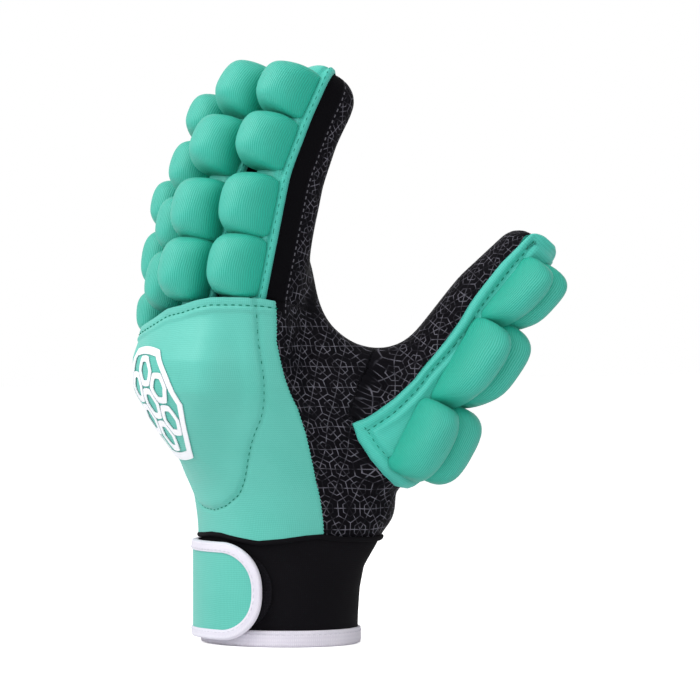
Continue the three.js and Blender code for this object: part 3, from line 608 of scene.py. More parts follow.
# %% Cutting the wrist open
def hand_flat(points):
    """Cloth coordinates on the hand: the length round it from the thumb side, and the height."""
    heights = np.linspace(30 * MM, 150 * MM, 41)
    angles = np.linspace(-180, 180, 181)
    thumb_side = 45
    lengths = running(hand_point(angles[None, :], heights[:, None]), 1)
    lengths -= lengths[:, [thumb_side]]
    lean = np.interp((points[:, 2] - CUFF_HEIGHT) / PALM_LENGTH, share_steps, hand_columns[0])
    away = points - WRIST
    angle = np.degrees(np.arctan2(away[:, 1], away[:, 0] - lean - KNUCKLE_SKEW * away[:, 1]))
    row = np.clip((points[:, 2] - heights[0]) / (heights[1] - heights[0]), 0, len(heights) - 1.001)
    column = np.clip((angle + 180) / 2, 0, len(angles) - 1.001)
    i, j = row.astype(int), column.astype(int)
    fi, fj = row - i, column - j
    low = lengths[i, j] * (1 - fj) + lengths[i, j + 1] * fj
    high = lengths[i + 1, j] * (1 - fj) + lengths[i + 1, j + 1] * fj
    return pair(low * (1 - fi) + high * fi, points[:, 2])


def cut_level(points, faces, height):
    """Cuts a skin level at a height and keeps what is above."""
    mesh = bmesh.new()
    verts = [mesh.verts.new(point) for point in points]
    for face in faces:
        mesh.faces.new([verts[index] for index in face])
    everything = [*mesh.verts, *mesh.edges, *mesh.faces]
    plane = {"plane_co": (0, 0, height), "plane_no": (0, 0, 1)}
    bmesh.ops.bisect_plane(mesh, geom=everything, clear_inner=True, **plane)
    mesh.verts.index_update()
    kept = np.array([vert.co[:] for vert in mesh.verts])
    rings = [[vert.index for vert in face.verts] for face in mesh.faces]
    mesh.free()
    return kept, rings


skin_points, skin_faces = cut_level(form_points, form_faces, CUFF_HEIGHT)
flat = hand_flat(skin_points)
print("skin", len(skin_points), "points, flat from", flat.min(axis=0), "to", flat.max(axis=0))

# %% Panels of the inner glove
LEATHER_FROM = 0.6 * MM
ALL_LEATHER = 6 * MM
CROTCH = 2 * MM
FINGER_HALF_WIDTH, FINGER_HALF_DEPTH = 12 * MM, 19 * MM
THUMB_WEB = 24 * MM
THUMB_MEAN_RADIUS = 13 * MM
SKIN_THICK = 1.3 * MM


def evenness(sheet):
    """How truly the cloth map keeps shapes at each point, 0 to 1: a print fades where it would smear."""
    corners = np.concatenate([np.array(face) for face in sheet.faces])
    following = np.concatenate([np.roll(face, -1) for face in sheet.faces])
    face_of = np.repeat(np.arange(len(sheet.faces)), [len(face) for face in sheet.faces])
    real, flat = [
        np.linalg.norm(values[corners] - values[following], axis=1) + 1e-7
        for values in (sheet.points, sheet.flat)]
    least, most = np.full(len(sheet.faces), np.inf), np.zeros(len(sheet.faces))
    np.minimum.at(least, face_of, real / flat)
    np.maximum.at(most, face_of, real / flat)
    keeps = least / most * np.minimum(1, most * 1.2)
    corner_count = np.maximum(np.bincount(corners, minlength=len(sheet.points)), 1)
    for _ in range(5):
        at_points = np.bincount(corners, keeps[face_of], len(sheet.points)) / corner_count
        keeps = np.bincount(face_of, at_points[corners]) / np.bincount(face_of)
    return smooth_share(at_points, 0.4, 0.62)


centres = np.array([skin_points[face].mean(axis=0) for face in skin_faces])
leather = np.full(len(skin_points), ALL_LEATHER)
owner = np.full(len(skin_faces), "palm", dtype=object)
along_face = np.zeros(len(skin_faces))
for name, bone in bones.items():
    half_width = FINGER_HALF_WIDTH * FINGERS[name]["girth"]
    s, x, y = bone.find(skin_points)
    inside = (np.abs(y) < half_width) & (np.abs(x) < FINGER_HALF_DEPTH)
    mine = inside & (s > -5 * MM)
    leather[mine] = x[mine] - LEATHER_FROM
    flat = np.where((inside & (s > CROTCH))[:, None], pair(np.arctan2(y, x) * half_width, s), flat)
    s, x, y = bone.find(centres)
    mine = (np.abs(y) < half_width) & (np.abs(x) < FINGER_HALF_DEPTH) & (s > CROTCH)
    owner[mine] = name
    along_face[mine] = s[mine]
s, x, y = thumb.find(skin_points)
on_thumb = (np.hypot(x, y) < THUMB_WEB) & (s > 8 * MM) & (leather > ALL_LEATHER - 0.1 * MM)
flat = np.where(on_thumb[:, None], pair(np.arctan2(y, x) * THUMB_MEAN_RADIUS, s), flat)
s, x, y = thumb.find(centres)
mine = (np.hypot(x, y) < THUMB_WEB) & (s > THUMB_LENGTHS[0]) & (owner == "palm")
owner[mine] = "thumb"
along_face[mine] = s[mine]
skin_sheet = Sheet(skin_points, skin_faces, SKIN_THICK, flat, {"leather": leather})
skin_sheet.marks["even"] = evenness(skin_sheet)
print({name: int((owner == name).sum()) for name in ["palm", *limbs]})

# %% [markdown]
# ## Finishes
# The glove has few materials, and all but one are cloth, so their structure is drawn from real thread
# spacings. Cloth patterns follow a map called "cloth" that every piece carries: its surface laid flat, in
# metres. Colours are written as they would be on a screen and turned to linear light by one function.

# %% Colours and nodes
def linear(code):
    """An sRGB hex colour as linear light."""
    values = [int(code[i : i + 2], 16) / 255 for i in (1, 3, 5)]
    return tuple(v / 12.92 if v <= 0.04045 else ((v + 0.055) / 1.055) ** 2.4 for v in values) + (1.0,)


def add(tree, kind, *values, named=None, **settings):
    """Adds a node, sets its options, and fills its sockets, in order or by name, with values or nodes."""
    node = tree.nodes.new(kind if "Node" in kind else "ShaderNode" + kind)
    for key, value in settings.items():
        setattr(node, key, value)
    sockets = list(zip([socket for socket in node.inputs if socket.enabled], values))
    sockets += [(node.inputs[name], value) for name, value in (named or {}).items()]
    for socket, value in sockets:
        if isinstance(value, bpy.types.Node):
            value = next(output for output in value.outputs if output.enabled)
        if isinstance(value, bpy.types.NodeSocket):
            tree.links.new(value, socket)
        else:
            socket.default_value = value
    return node


def finish(name):
    """A new material with an empty tree, and what adds nodes to that tree."""
    material = bpy.data.materials.new(name)
    material.use_nodes = True
    material.node_tree.nodes.clear()
    return material, partial(add, material.node_tree)


def wave_scale(pitch):
    """The scale at which a wave texture repeats once in a pitch."""
    return 2 * math.pi / pitch / 20


print("white as linear light", linear("#FFFFFF"))

# %% [markdown]
# The pads and the cover are polyester knit. On the pads it is ribbed and stretched, so fine ribs run
# along each finger; towards a pad's crown the tops of the ribs are painted paler, a painted highlight where
# the light falls on the domes. On the cover it is plain and so fine that only a faint mesh shows, and it is
# painted paler than the pads, a painted sheen of the lamps from the left. In every knit the colour is
# darker in the grooves and paler on the ridges, which is painted shade and highlight. Both have a broad
# satin gloss.

# %% Knit
RIB_PITCH = 0.88 * MM
MESH_PITCH = 0.8 * MM
KNIT_SURFACE = {
    "Roughness": 0.48, "Specular IOR Level": 0.35, "Sheen Weight": 0.06, "Sheen Roughness": 0.75,
    "Sheen Tint": linear("#EEF6FF"),
}
KNIT_WAVER = 1.6 * MM


def knit(name, pitch, ribs, depth, colours):
    """A knit: the share and depth of its ribs, and its low, high, patchy and crown highlight colours. Low
    and high paint shade into the grooves and highlight onto the ridges, patchy is a random tone, and the
    crown highlight is painted light on the rib tops near a pad's crown.
    """
    material, grow = finish(name)
    low, high, patchy, crown_highlight = [linear(colour) for colour in colours]
    place = grow("UVMap", uv_map="cloth")
    waver = grow("TexNoise", place, 90, 1).outputs["Color"]
    moved = grow("VectorMath", place, grow("VectorMath", waver, (KNIT_WAVER,) * 3, operation="MULTIPLY"))
    across, rows = [
        grow("TexWave", moved, wave_scale(pitch), bands_direction=way).outputs[1] for way in "XY"]
    grain = grow("TexNoise", place, 1.1 / pitch, 2)
    height = grow("Mix", 0.3, grow("Mix", ribs, rows, across), grain)
    # The colour follows the height of the knit: painted shade in its grooves and painted highlight on its
    # ridges, with random tone from the grain.
    ramp = grow("ValToRGB", height)
    for stop, (at, colour) in zip(ramp.color_ramp.elements, ((0.15, low), (0.8, high))):
        stop.position, stop.color = at, colour
    worn = grow("MapRange", grow("TexNoise", place, 35, 3), 0.35, 0.7, 0, 0.25)
    colour = grow("Mix", worn, ramp, patchy, data_type="RGBA")
    # Painted highlight: near a pad's crown the tops of the ribs are mixed towards the paler crown colour, as
    # if lit from above.
    crown = grow("MapRange", grow("Attribute", attribute_name="crown").outputs["Fac"], 0.35, 1, 0, 0.85)
    tops = grow("MapRange", height, 0.2, 0.75)
    colour = grow("Mix", grow("Math", crown, tops, operation="MULTIPLY"), colour, crown_highlight, data_type="RGBA")
    bump = grow("Bump", named={"Height": height, "Distance": depth, "Strength": 0.6})
    links = {"Base Color": colour, "Normal": bump}
    grow("OutputMaterial", grow("BsdfPrincipled", named={**KNIT_SURFACE, **links}))
    return material


# Each knit's colours: low and high, painted shade in the grooves and painted highlight on the ridges; a
# patchy tone at random; and a paler colour, a painted highlight on the pads' crowns.
PAD_GREENS = ("#04947D", "#08AE96", "#18B29D", "#4CB2A4")
EDGE_GREENS = ("#2CA997", "#42BEAE", "#54C6B8", "#54C6B8")
# The cover's and strap's knit is a paler copy of the same knit: a painted sheen of the lamps from the left.
COVER_GREENS = ("#45A999", "#59BBAD", "#69C2B6", "#69C2B6")
rib_knit = knit("ribbed polyester knit over moulded foam", RIB_PITCH, 0.92, 0.22 * MM, PAD_GREENS)
mint_knit = knit("plain polyester knit of the flanges", MESH_PITCH, 0.5, 0.12 * MM, EDGE_GREENS)
cover_knit = knit("plain polyester knit, paler with a painted sheen", MESH_PITCH, 0.5, 0.12 * MM, COVER_GREENS)
print("nodes of the ribbed knit", len(rib_knit.node_tree.nodes))

# %% [markdown]
# The palm is synthetic leather: a matte black coating with a fine pebble grain, printed with a thin grey
# net for grip. The net here is a lattice of nested hexagons. A hexagon lattice is two square grids laid
# over each other: each point belongs to the nearer centre, and its distance from that centre, measured
# across the flats, draws every ring. The sides of the fingers are plain black stretch knit, and a mark on
# the mesh says how far inside the leather a point is.

# %% Leather and the printed net
NET_PITCH = 9.5 * MM
NET_LINE = 0.22 * MM
NET_RINGS = (0.5, 0.28)
NET_SPOKES = (30, 90, 150)
NET_FROM = 2.2 * MM
EDGE_STITCH = 2.6 * MM
GRAIN = 0.7 * MM
CREASE_PITCH = 7 * MM


def palm_leather():
    """The leather with its pebble grain, creases and printed net, and plain knit past its edge."""
    material, grow = finish("matte synthetic leather, printed")
    half = (0.5, math.sqrt(3) / 2, 0.5)
    place = grow("UVMap", uv_map="cloth")
    shift = grow("VectorMath", grow("TexNoise", place, 60, 1).outputs[1], (0.25,) * 3, operation="MULTIPLY")
    cells = grow("VectorMath", grow("Mapping", place, named={"Scale": (1 / NET_PITCH,) * 3}), shift)
    sides = []
    for grid in (cells, grow("VectorMath", cells, half, operation="SUBTRACT")):
        side = grow("VectorMath", grid, half, tuple(-v for v in half), operation="WRAP")
        sides.append(grow("VectorMath", side, (1, 1, 0), operation="MULTIPLY"))
    near = [grow("VectorMath", side, operation="LENGTH") for side in sides]
    cell = grow("Mix", grow("Math", near[1], near[0], operation="LESS_THAN"), *sides, data_type="VECTOR")
    corner = grow("VectorMath", cell, operation="ABSOLUTE")
    slant = grow("VectorMath", corner, (0.5, math.sqrt(3) / 2, 0), operation="DOT_PRODUCT")
    reach = grow("Math", slant, grow("SeparateXYZ", corner), operation="MAXIMUM")
    gaps = [grow("Math", reach, ring, operation="SUBTRACT") for ring in NET_RINGS]
    for angle in NET_SPOKES:
        way = (math.cos(math.radians(angle)), math.sin(math.radians(angle)), 0)
        gaps.append(grow("VectorMath", cell, way, operation="DOT_PRODUCT"))
    nearest = 1
    for gap in gaps:
        nearest = grow("Math", nearest, grow("Math", gap, operation="ABSOLUTE"), operation="MINIMUM")
    line = NET_LINE / NET_PITCH
    ink = grow("MapRange", nearest, line * 0.4, line, 1, 0)
    rubbed = grow("MapRange", grow("TexNoise", place, 260, 3), 0.4, 0.62, 0.05, 0.9)
    inside = grow("Attribute", attribute_name="leather").outputs["Fac"]
    even = grow("Attribute", attribute_name="even").outputs["Fac"]
    coated = grow("MapRange", inside, 0, 0.4 * MM)
    printed = grow("MapRange", inside, NET_FROM, NET_FROM + 0.6 * MM)
    for other in (even, rubbed, ink):
        printed = grow("Math", printed, other, operation="MULTIPLY")
    seam = grow("Math", inside, 1.5 * MM, 0.3 * MM, operation="COMPARE")
    pulse = grow("TexWave", place, wave_scale(EDGE_STITCH), bands_direction="Y").outputs[1]
    thread = grow("Math", seam, grow("Math", pulse, 0.5, operation="GREATER_THAN"), operation="MULTIPLY")
    thread = grow("Math", thread, 0.38, operation="MULTIPLY")
    grain = grow("TexVoronoi", place, 1 / GRAIN, feature="SMOOTH_F1")
    mesh_in = grow("TexNoise", place, 1 / (0.5 * MM), 1)
    colour = grow("Mix", grain, linear("#0C0B10"), linear("#040306"), data_type="RGBA")
    colour = grow("Mix", coated, linear("#0A090C"), colour, data_type="RGBA")
    colour = grow("Mix", printed, colour, linear("#6E6C76"), data_type="RGBA")
    colour = grow("Mix", thread, colour, linear("#8B8992"), data_type="RGBA")
    rough = grow("Mix", coated, 0.85, 0.58)
    pebbles = grow("Math", grow("Mix", coated, mesh_in, grain), 0.15, operation="MULTIPLY")
    creases = grow("TexNoise", place, 1 / CREASE_PITCH, 3, named={"Distortion": 0.8})
    folds = grow("Bump", named={"Height": creases, "Distance": 2.2 * MM, "Strength": 0.75})
    height = grow("Math", pebbles, coated)
    pebbled = {"Height": height, "Distance": 0.7 * MM, "Strength": 0.6, "Normal": folds}
    surface = {"Specular IOR Level": 0.04, "Base Color": colour, "Roughness": rough}
    surface["Normal"] = grow("Bump", named=pebbled)
    grow("OutputMaterial", grow("BsdfPrincipled", named=surface))
    return material


leather_black = palm_leather()
print("nodes of the leather", len(leather_black.node_tree.nodes))

# %% [markdown]
# The wrist band is neoprene, a rubber foam with a thin black jersey glued to it: dead matte with a faint
# fine mesh. The border is woven polyester tape, whose ribs run across it. The closure has a pile of small
# loops.

# %% Band, tape, pile, film and thread
def simple_cloth(name, colours, pitch, depth, surface, stretch=(1, 1)):
    """A fabric with a fine mesh of one pitch and a slow change of tone."""
    material, grow = finish(name)
    place = grow("UVMap", uv_map="cloth")
    waves = [
        grow("TexWave", place, wave_scale(pitch) * size, bands_direction=way).outputs[1]
        for way, size in zip("XY", stretch)]
    mesh_of = grow("Math", *waves, operation="MULTIPLY")
    height = grow("Mix", 0.4, mesh_of, grow("TexNoise", place, 1.4 / pitch, 2))
    tone = grow("Mix", 0.5, height, grow("TexNoise", place, 45, 4))
    colour = grow("Mix", tone, *[linear(colour) for colour in colours], data_type="RGBA")
    bump = grow("Bump", named={"Height": height, "Distance": depth, "Strength": 0.6})
    links = {"Base Color": colour, "Normal": bump}
    grow("OutputMaterial", grow("BsdfPrincipled", named={**surface, **links}))
    return material


matte = {"Roughness": 0.9, "Specular IOR Level": 0.1}
nap = {"Sheen Weight": 0.2, "Sheen Roughness": 0.5, **matte}
neoprene = simple_cloth("neoprene with a jersey face", ("#050407", "#110F13"), 0.8 * MM, 0.15 * MM, matte)
white_tape = simple_cloth("woven polyester tape", ("#CFC9D8", "#F4F0F8"), 0.9 * MM, 0.2 * MM, nap, (1, 0.5))
loop_pile = simple_cloth("pile of small nylon loops", ("#050507", "#222026"), 1.3 * MM, 0.8 * MM, matte)
film = simple_cloth("printed film", ("#E6E4EC", "#FAF9FC"), 0.8 * MM, 0.04 * MM, {"Roughness": 0.5})
twist = (0.4 * MM, 0.05 * MM, matte)
green_thread = simple_cloth("polyester thread, deep green", ("#0C6552", "#178A71"), *twist)
pale_thread = simple_cloth("polyester thread, white", ("#C9C5D2", "#ECEAF2"), *twist)
print("finishes", len(bpy.data.materials))

# %% [markdown]
# Every limb's cloth is cut half way between its joints, so that each panel covers one of them. One
# table of panels serves the inner glove, the flanges, the guard and their stitches.

# %% Where the panels are cut
KNUCKLE_SPLIT, MIDDLE_SPLIT = 0.55, 0.5
KNUCKLE_ZONE = {"index": (2, 22), "middle": (2, 22), "ring": (2, 22), "little": (1, 11)}
MIDDLE_ZONE = {"index": (-9, 9), "middle": (-9, 9), "ring": (-9, 9), "little": (-6, 9)}
FINGER_TIP_ZONE = (-6, 6)
THUMB_SPLIT = THUMB_LENGTHS[0] + THUMB_LENGTHS[1] * 0.5
FIRST, LAST = -1, 1


def panels_of(name):
    """A limb's panels: title, link, joint, start and end along the bone, and where it bends, in mm."""
    if name == "thumb":
        return [
            ("lower", "middle", "thumb_knuckle_bend", FIRST, THUMB_SPLIT, (0, 18)),
            ("upper", "distal", "thumb_tip_bend", THUMB_SPLIT, LAST, (-7, 7)),
        ]
    first, second, _ = bones[name].lengths
    low, high = first * KNUCKLE_SPLIT, first + second * MIDDLE_SPLIT
    return [
        ("knuckle", "proximal", f"{name}_knuckle_bend", FIRST, low, KNUCKLE_ZONE[name]),
        ("middle", "middle", f"{name}_middle_bend", low, high, MIDDLE_ZONE[name]),
        ("tip", "distal", f"{name}_tip_bend", high, LAST, FINGER_TIP_ZONE),
    ]


print("panels of a finger", [title for title, *_ in panels_of("index")])

# %% Sewing the panels
def declare(piece, body=None, nodes=()):
    """Parents a piece to the empty of the body that it rides stiffly, and hides the solids that it stands
    for.
    """
    if body:
        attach(piece, body)
    if nodes:
        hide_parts(*nodes)
    return piece


def bend_over(piece, bone, joint, zone):
    """Bakes a piece's place into its mesh. The span over a joint of a bone, between two distances from that
    joint, is found but not used.
    """
    here = bone.find(joint_place[joint][None, :])[0]
    start, end = [tuple(bone.at(here + distance * MM, bone.line)[0]) for distance in zone]
    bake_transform(piece)


def sew_panels(name, sheet, mine, along, cloth, solid, material, slot, also=()):
    """Cuts a limb's part of a sheet into panels, one round each joint, each of which stands for a solid."""
    for title, link, joint, start, end, zone in panels_of(name):
        keep = mine & (along >= start) & (along < end)
        piece = shell(f"{name}_{title}_{cloth}", sheet.part(keep), material)
        bend_over(piece, limbs[name], joint, zone)
        declare(piece, nodes=[*(also if start == FIRST else ()), f"{name}_{link}_{solid}"])


palm_piece = shell("palm_leather_panel", skin_sheet.part(owner == "palm"), leather_black)
declare(palm_piece, "hand", ("palm_panel", "thumb_root_sleeve"))
facts = ("stall", "sleeve", leather_black, "palm_leather")
for name in limbs:
    sew_panels(name, skin_sheet, owner == name, along_face, *facts)
print("inner glove panels", sum(len(panels_of(name)) for name in limbs) + 1)

# %% [markdown]
# ## The cover of the back
# One sheet of mint knit over foam covers the back of the hand, from the seam on the thumb side round to
# the seam below the little finger. A second, thicker slab of foam is sewn in under it, so the cover steps
# up at a stitch line and swells in the middle. Its top edge is folded over into a hem, which stands open
# behind the fingers.

# %% Lines on the cover
# Angles round the hand with heights in mm, or shares of the palm's length with angles.
ULNAR_EDGE = -260
WAVE_LINE = np.array([
    [-270, 43.4], [-240, 43.4], [-215, 44], [-195, 44.6], [-180, 45.2], [-165, 45], [-145, 43.6],
    [-128, 42.4], [-112, 43.4], [-98, 44.8], [-90, 45.2], [-76, 43.8], [-60, 43.4], [-30, 44.4],
    [0, 43.6], [45, 42.6], [90, 43.4],
])
HEM_LINE = np.array([
    [-262, 126.5], [-240, 126.6], [-215, 129], [-190, 133], [-168, 137.3], [-150, 139],
    [-137, 141], [-126, 142.3], [-110, 142.4], [-98, 141.8], [-88, 140.4],
])
RADIAL_LINE = np.array([
    [0.02, -87.4], [0.235, -88.7], [0.332, -88.3], [0.442, -86.9], [0.548, -86.9], [0.679, -90.2],
    [0.827, -92.9], [0.987, -90.9],
])
PLATEAU_LINE = np.array([
    [1.04, -101.2], [0.987, -101.2], [0.839, -102.5], [0.7, -101.1], [0.607, -102.2], [0.514, -106.8],
    [0.442, -114], [0.353, -122.2], [0.248, -130.4], [0.184, -139], [0.134, -155.8], [0.113, -173.8],
    [0.121, -196.8], [0.16, -214], [0.25, -228], [0.4, -238], [0.6, -244], [0.8, -247], [0.987, -247],
    [1.04, -247],
])
print("rows", len(WAVE_LINE), len(HEM_LINE), len(RADIAL_LINE), len(PLATEAU_LINE))

# %% How far the cover stands off
ANGLES_PER_SHARE = 60
COVER_OUT = 1.0 * MM
COVER_THICK = 2.6 * MM
PLATEAU_STEP = 1.6 * MM
PLATEAU_CROWN = 8 * MM
PLATEAU_SLOPE = (7 * MM, 26 * MM)
CROWN_SHARES = np.array([
    [0.1, 0], [0.2, 0.2], [0.35, 0.5], [0.5, 0.8], [0.62, 1], [0.75, 1], [0.85, 0.75], [0.93, 0.45],
    [1.05, 0.35],
])


def inside_line(x, y, line):
    """Which points lie inside a closed outline."""
    inside = np.zeros(x.shape, bool)
    for (x0, y0), (x1, y1) in zip(line, np.roll(line, -1, axis=0)):
        crosses = (y0 > y) != (y1 > y)
        inside ^= crosses & (x < (x1 - x0) * (y - y0) / (y1 - y0 + 1e-12) + x0)
    return inside


def nearest_gap(points, line, block=50):
    """Distance of each point from a line of points."""
    flat_points = points.reshape(-1, 3)
    gaps = np.full(len(flat_points), 1.0)
    for k in range(0, len(line), block):
        some = line[None, k : k + block]
        gaps = np.minimum(gaps, np.linalg.norm(flat_points[:, None] - some, axis=-1).min(axis=1))
    return gaps.reshape(points.shape[:-1])


plateau_line = even_line(PLATEAU_LINE / [1, ANGLES_PER_SHARE], 400) * [1, ANGLES_PER_SHARE]
plateau_height = CUFF_HEIGHT + plateau_line[:, 0] * PALM_LENGTH
plateau_seam = hand_point(plateau_line[:, 1], plateau_height)


def cover_out(angle, height, points):
    """How far the cover stands off the hand: its foam, the step at the stitch line and the slab's crown."""
    share = (height - CUFF_HEIGHT) / PALM_LENGTH
    gap = nearest_gap(points, plateau_seam)
    inside = inside_line(angle, share, plateau_line[:, ::-1])
    step = PLATEAU_STEP * (1 - np.exp(-gap / (2 * MM)))
    slab = step + PLATEAU_CROWN * read(CROWN_SHARES, share) * smooth_share(gap, *PLATEAU_SLOPE)
    return COVER_OUT + np.where(inside, slab, 0) - 0.7 * MM * ridge(gap, 0, 0.9 * MM)


def cover_place(angle, height, out=0.0):
    """Points on the cover, or outside it."""
    return hand_point(angle, height, cover_out(angle, height, hand_point(angle, height)) + out)


print("stitch line of the slab", len(plateau_line), "points")

# %% The cover
HEM_WIDTH = 5.5 * MM
HEM_SEAM = 3 * MM
HEM_SWELL = 0.7 * MM
PINKING = 0.45
ROWS, COLUMNS = 130, 190
row_share = np.linspace(0, 1, ROWS)[:, None]
pinked = PINKING * (np.arange(ROWS) % 2)[:, None]
radial = read(RADIAL_LINE, row_share) - pinked
cover_angle = ULNAR_EDGE + (radial - ULNAR_EDGE) * np.linspace(0, 1, COLUMNS)[None, :]
hem_height = read(HEM_LINE, cover_angle) * MM
lower_height = read(WAVE_LINE, cover_angle) * MM + 0.4 * MM
cover_height = lower_height + (hem_height - lower_height) * row_share
base = hand_point(cover_angle, cover_height)
below_hem = hem_height - cover_height
hem_fold = smooth_share(-below_hem, -HEM_WIDTH - 0.5 * MM, -HEM_WIDTH + 0.7 * MM)
out = cover_out(cover_angle, cover_height, base) + HEM_SWELL * hem_fold
out -= 0.5 * MM * ridge(below_hem, HEM_SEAM, 0.6 * MM)
from_side = running(base, 1)[:, -1:] - running(base, 1)
out *= np.sqrt(np.clip(from_side / (1.2 * MM), 0.15, 1))
cover_points = hand_point(cover_angle, cover_height, out)
thickness = np.minimum(out + 0.25 * MM, COVER_THICK + 0.8 * MM * hem_fold)
cover_sheet = grid_sheet(cover_points, thickness, pair(running(cover_points, 1), cover_height))
back_cover = shell("back_cover", cover_sheet, cover_knit)
declare(back_cover, "hand", ("back_shell", "back_pad"))
print("cover", len(cover_sheet.faces), "faces")

# %% [markdown]
# ## Flanges
# Behind every finger runs a strip of the same knit, wider than the pads: the pads are moulded into it and
# its edges are sewn to the inner glove. It is the tube of the finger again, a little larger, on its back
# half only, with an edge that curls down to the glove.

# %% Flanges of the fingers
FLANGE_OUT = 2.3 * MM
FLANGE_LIP = 1.3 * MM
FLANGE_TURN = 62
FLANGE_GROOVE = 4.3 * MM
FLANGE_FADE = 8 * MM
GROOVE_DEPTH = 0.9 * MM
GROOVE_WIDTH = 0.9 * MM
RIM_SWELL = 0.4 * MM
FLANGE_START = {"index": -7.5, "middle": -7.5, "ring": 1, "little": -7.5}


def in_three(ends, counts):
    """Numbers in three even runs between four ends, usually closer together in the outer two."""
    first, middle, last = [np.linspace(*run) for run in zip(ends, ends[1:], counts)]
    return np.concatenate([first, middle[1:-1], last])


def lip_rise(gap, lip):
    """Rises from 0 at an edge to 1 within a lip, as a quarter of a circle."""
    t = np.clip(gap / lip, 0, 1)
    return np.sqrt(1 - (1 - t) ** 2)


def flange_sheet(bone, start):
    """The flange of a finger: its grid of points and the sheet made of them."""
    turn = 180 + FLANGE_TURN * in_three((-1, -0.8, 0.8, 1), (9, 30, 9))[None, :]
    s = bone.stations(start, 1 * MM, 14, 0.02 * MM)[:, None]
    across = running(bone.point(s, turn, FLANGE_OUT), 1)
    gap = np.minimum(across, across[:, -1:] - across)
    wide = np.clip((across[:, -1:] - 2 * FLANGE_GROOVE - 3 * MM) / FLANGE_FADE, 0, 1)
    out = 0.35 * MM + FLANGE_OUT * lip_rise(gap, FLANGE_LIP)
    out -= GROOVE_DEPTH * wide * ridge(gap, FLANGE_GROOVE, GROOVE_WIDTH)
    out += RIM_SWELL * wide * ridge(gap, 0.5 * FLANGE_GROOVE, 1.0 * MM)
    stretch = np.where(s > 0, (bone.total + out) / bone.total, 1)
    points = bone.point(s * stretch, turn + 0 * s, out)
    thickness = np.maximum(out - 0.2 * MM, 0.2 * MM)
    return points, grid_sheet(points, thickness, pair(across, s), {"along": s + 0 * across})


flanges = {name: flange_sheet(bone, FLANGE_START[name] * MM) for name, bone in bones.items()}
for name, (_, sheet) in flanges.items():
    sew_panels(name, sheet, True, sheet.along(), "flange_knit", "flange", mint_knit, "mint_fabric")
print("flanges", len(flanges))

# %% [markdown]
# ## Pads
# The pads are blocks of moulded foam in stretched knit. Each starts as a pillow: a boxy plan, steep sides
# and a crown that rounds over more across the finger than along it. Its foot is laid onto the flange
# below it by casting rays, and a short cloth simulation then blows the pillow up against its sewn foot,
# as the foam does with the real knit.

# %% The shape of a pad
PAD_HALF_WIDTH = 10.6 * MM
PAD_HALF_LENGTH = 12.5 * MM
PAD_THICK = 16.4 * MM
# A share of the height, and there the shares of the half width and of the half length.
PAD_PROFILE = np.array([
    [0, 0.86, 0.99], [0.1, 0.94, 1], [0.25, 1, 1], [0.42, 1, 0.985], [0.58, 0.95, 0.945], [0.7, 0.87, 0.89],
    [0.8, 0.765, 0.82], [0.88, 0.64, 0.73], [0.94, 0.49, 0.61], [0.98, 0.31, 0.45], [1, 0.02, 0.02],
])
PAD_SQUARE = 6.5
PAD_ROUND = 2.3
SEAT_SEARCH = 9 * MM
SEAT_MISSED = -6 * MM
SEAT_SINK = 0.5 * MM


def pad_grid(half_width, half_length, height, around=60, rows=30):
    """A pillow on a flat base, width along x, length along y, height along z, and its cloth laid flat."""
    profile = even_line(PAD_PROFILE * [height, half_width, half_length], rows)
    turn = np.radians(ring_of(around))[None, :]
    power = 2 / (PAD_SQUARE + (PAD_ROUND - PAD_SQUARE) * smooth_share(profile[:, :1] / height, 0.05, 0.85))
    plan = [squarish(np.cos(turn), power), squarish(np.sin(turn), power)]
    grid = [plan[0] * profile[:, 1:2], plan[1] * profile[:, 2:], profile[:, :1] + 0 * plan[0]]
    drawn = []
    for column in (1, 2):
        steps = np.hypot(np.diff(profile[:, column]), np.diff(profile[:, 0]))
        drawn.append(plan[column - 1] * np.append(np.cumsum(steps[::-1])[::-1], 0)[:, None])
    return np.stack(grid, axis=-1), np.stack(drawn, axis=-1)


def pad_piece(name, pillow, sizes, place, along, out, seat):
    """Scales a pillow, lays its foot onto the seat below it and closes it."""
    grid, cloth = pillow
    local = grid * sizes
    matrix = np.stack([np.cross(along, out), along, out])
    drop = []
    for foot in local[0]:
        start = place + foot[0] * matrix[0] + foot[1] * along + SEAT_SEARCH * out
        hit, _, _, gap = seat.ray_cast(Vector(start), Vector(-out), 2 * SEAT_SEARCH)
        drop.append(SEAT_MISSED if hit is None else SEAT_SEARCH - gap - SEAT_SINK)
    drop = np.array(drop)
    for _ in range(3):
        drop = (np.roll(drop, 1) + 2 * drop + np.roll(drop, -1)) / 4
    share = np.clip(local[..., 2] / local[..., 2].max(), 0, 1)
    local[..., 2] += drop[None, :] * (1 - share) ** 2
    ends = [place + out * drop.min(), local[-1].mean(axis=0) @ matrix + place]
    points, faces = closed_tube(local @ matrix + place, ends)
    flat = np.vstack([cloth.reshape(-1, 2) * sizes[:2], np.zeros((2, 2))])
    # The crown mark is the share of the pad's height; the knit paints a highlight on the rib tops towards
    # it.
    pad = put(name, points, faces, rib_knit, flat, {"crown": np.append(share.ravel(), [0, 1])})
    return pad


print("rows of a pillow", len(pad_grid(1, 1, 1)[0]))

# %% [markdown]
# Blender's cloth is tuned for things the size of a cushion, so the pillow is simulated ten times its
# size. Its foot is pinned, the pressure pushes the rest out for twenty frames, and no point may end more
# than a set way from where it was. The pillow's own grid is then drawn out to the result, so that it
# keeps its even faces and its cloth map.

# %% Plumping a pillow
SIM_SCALE = 10
SIM_CAP = 0.9 * MM * SIM_SCALE
SIM_CELL = 7 * MM
SIM_FRAMES = 20
SIM_PRESSURE = 4
CORE_SHARE = 0.35


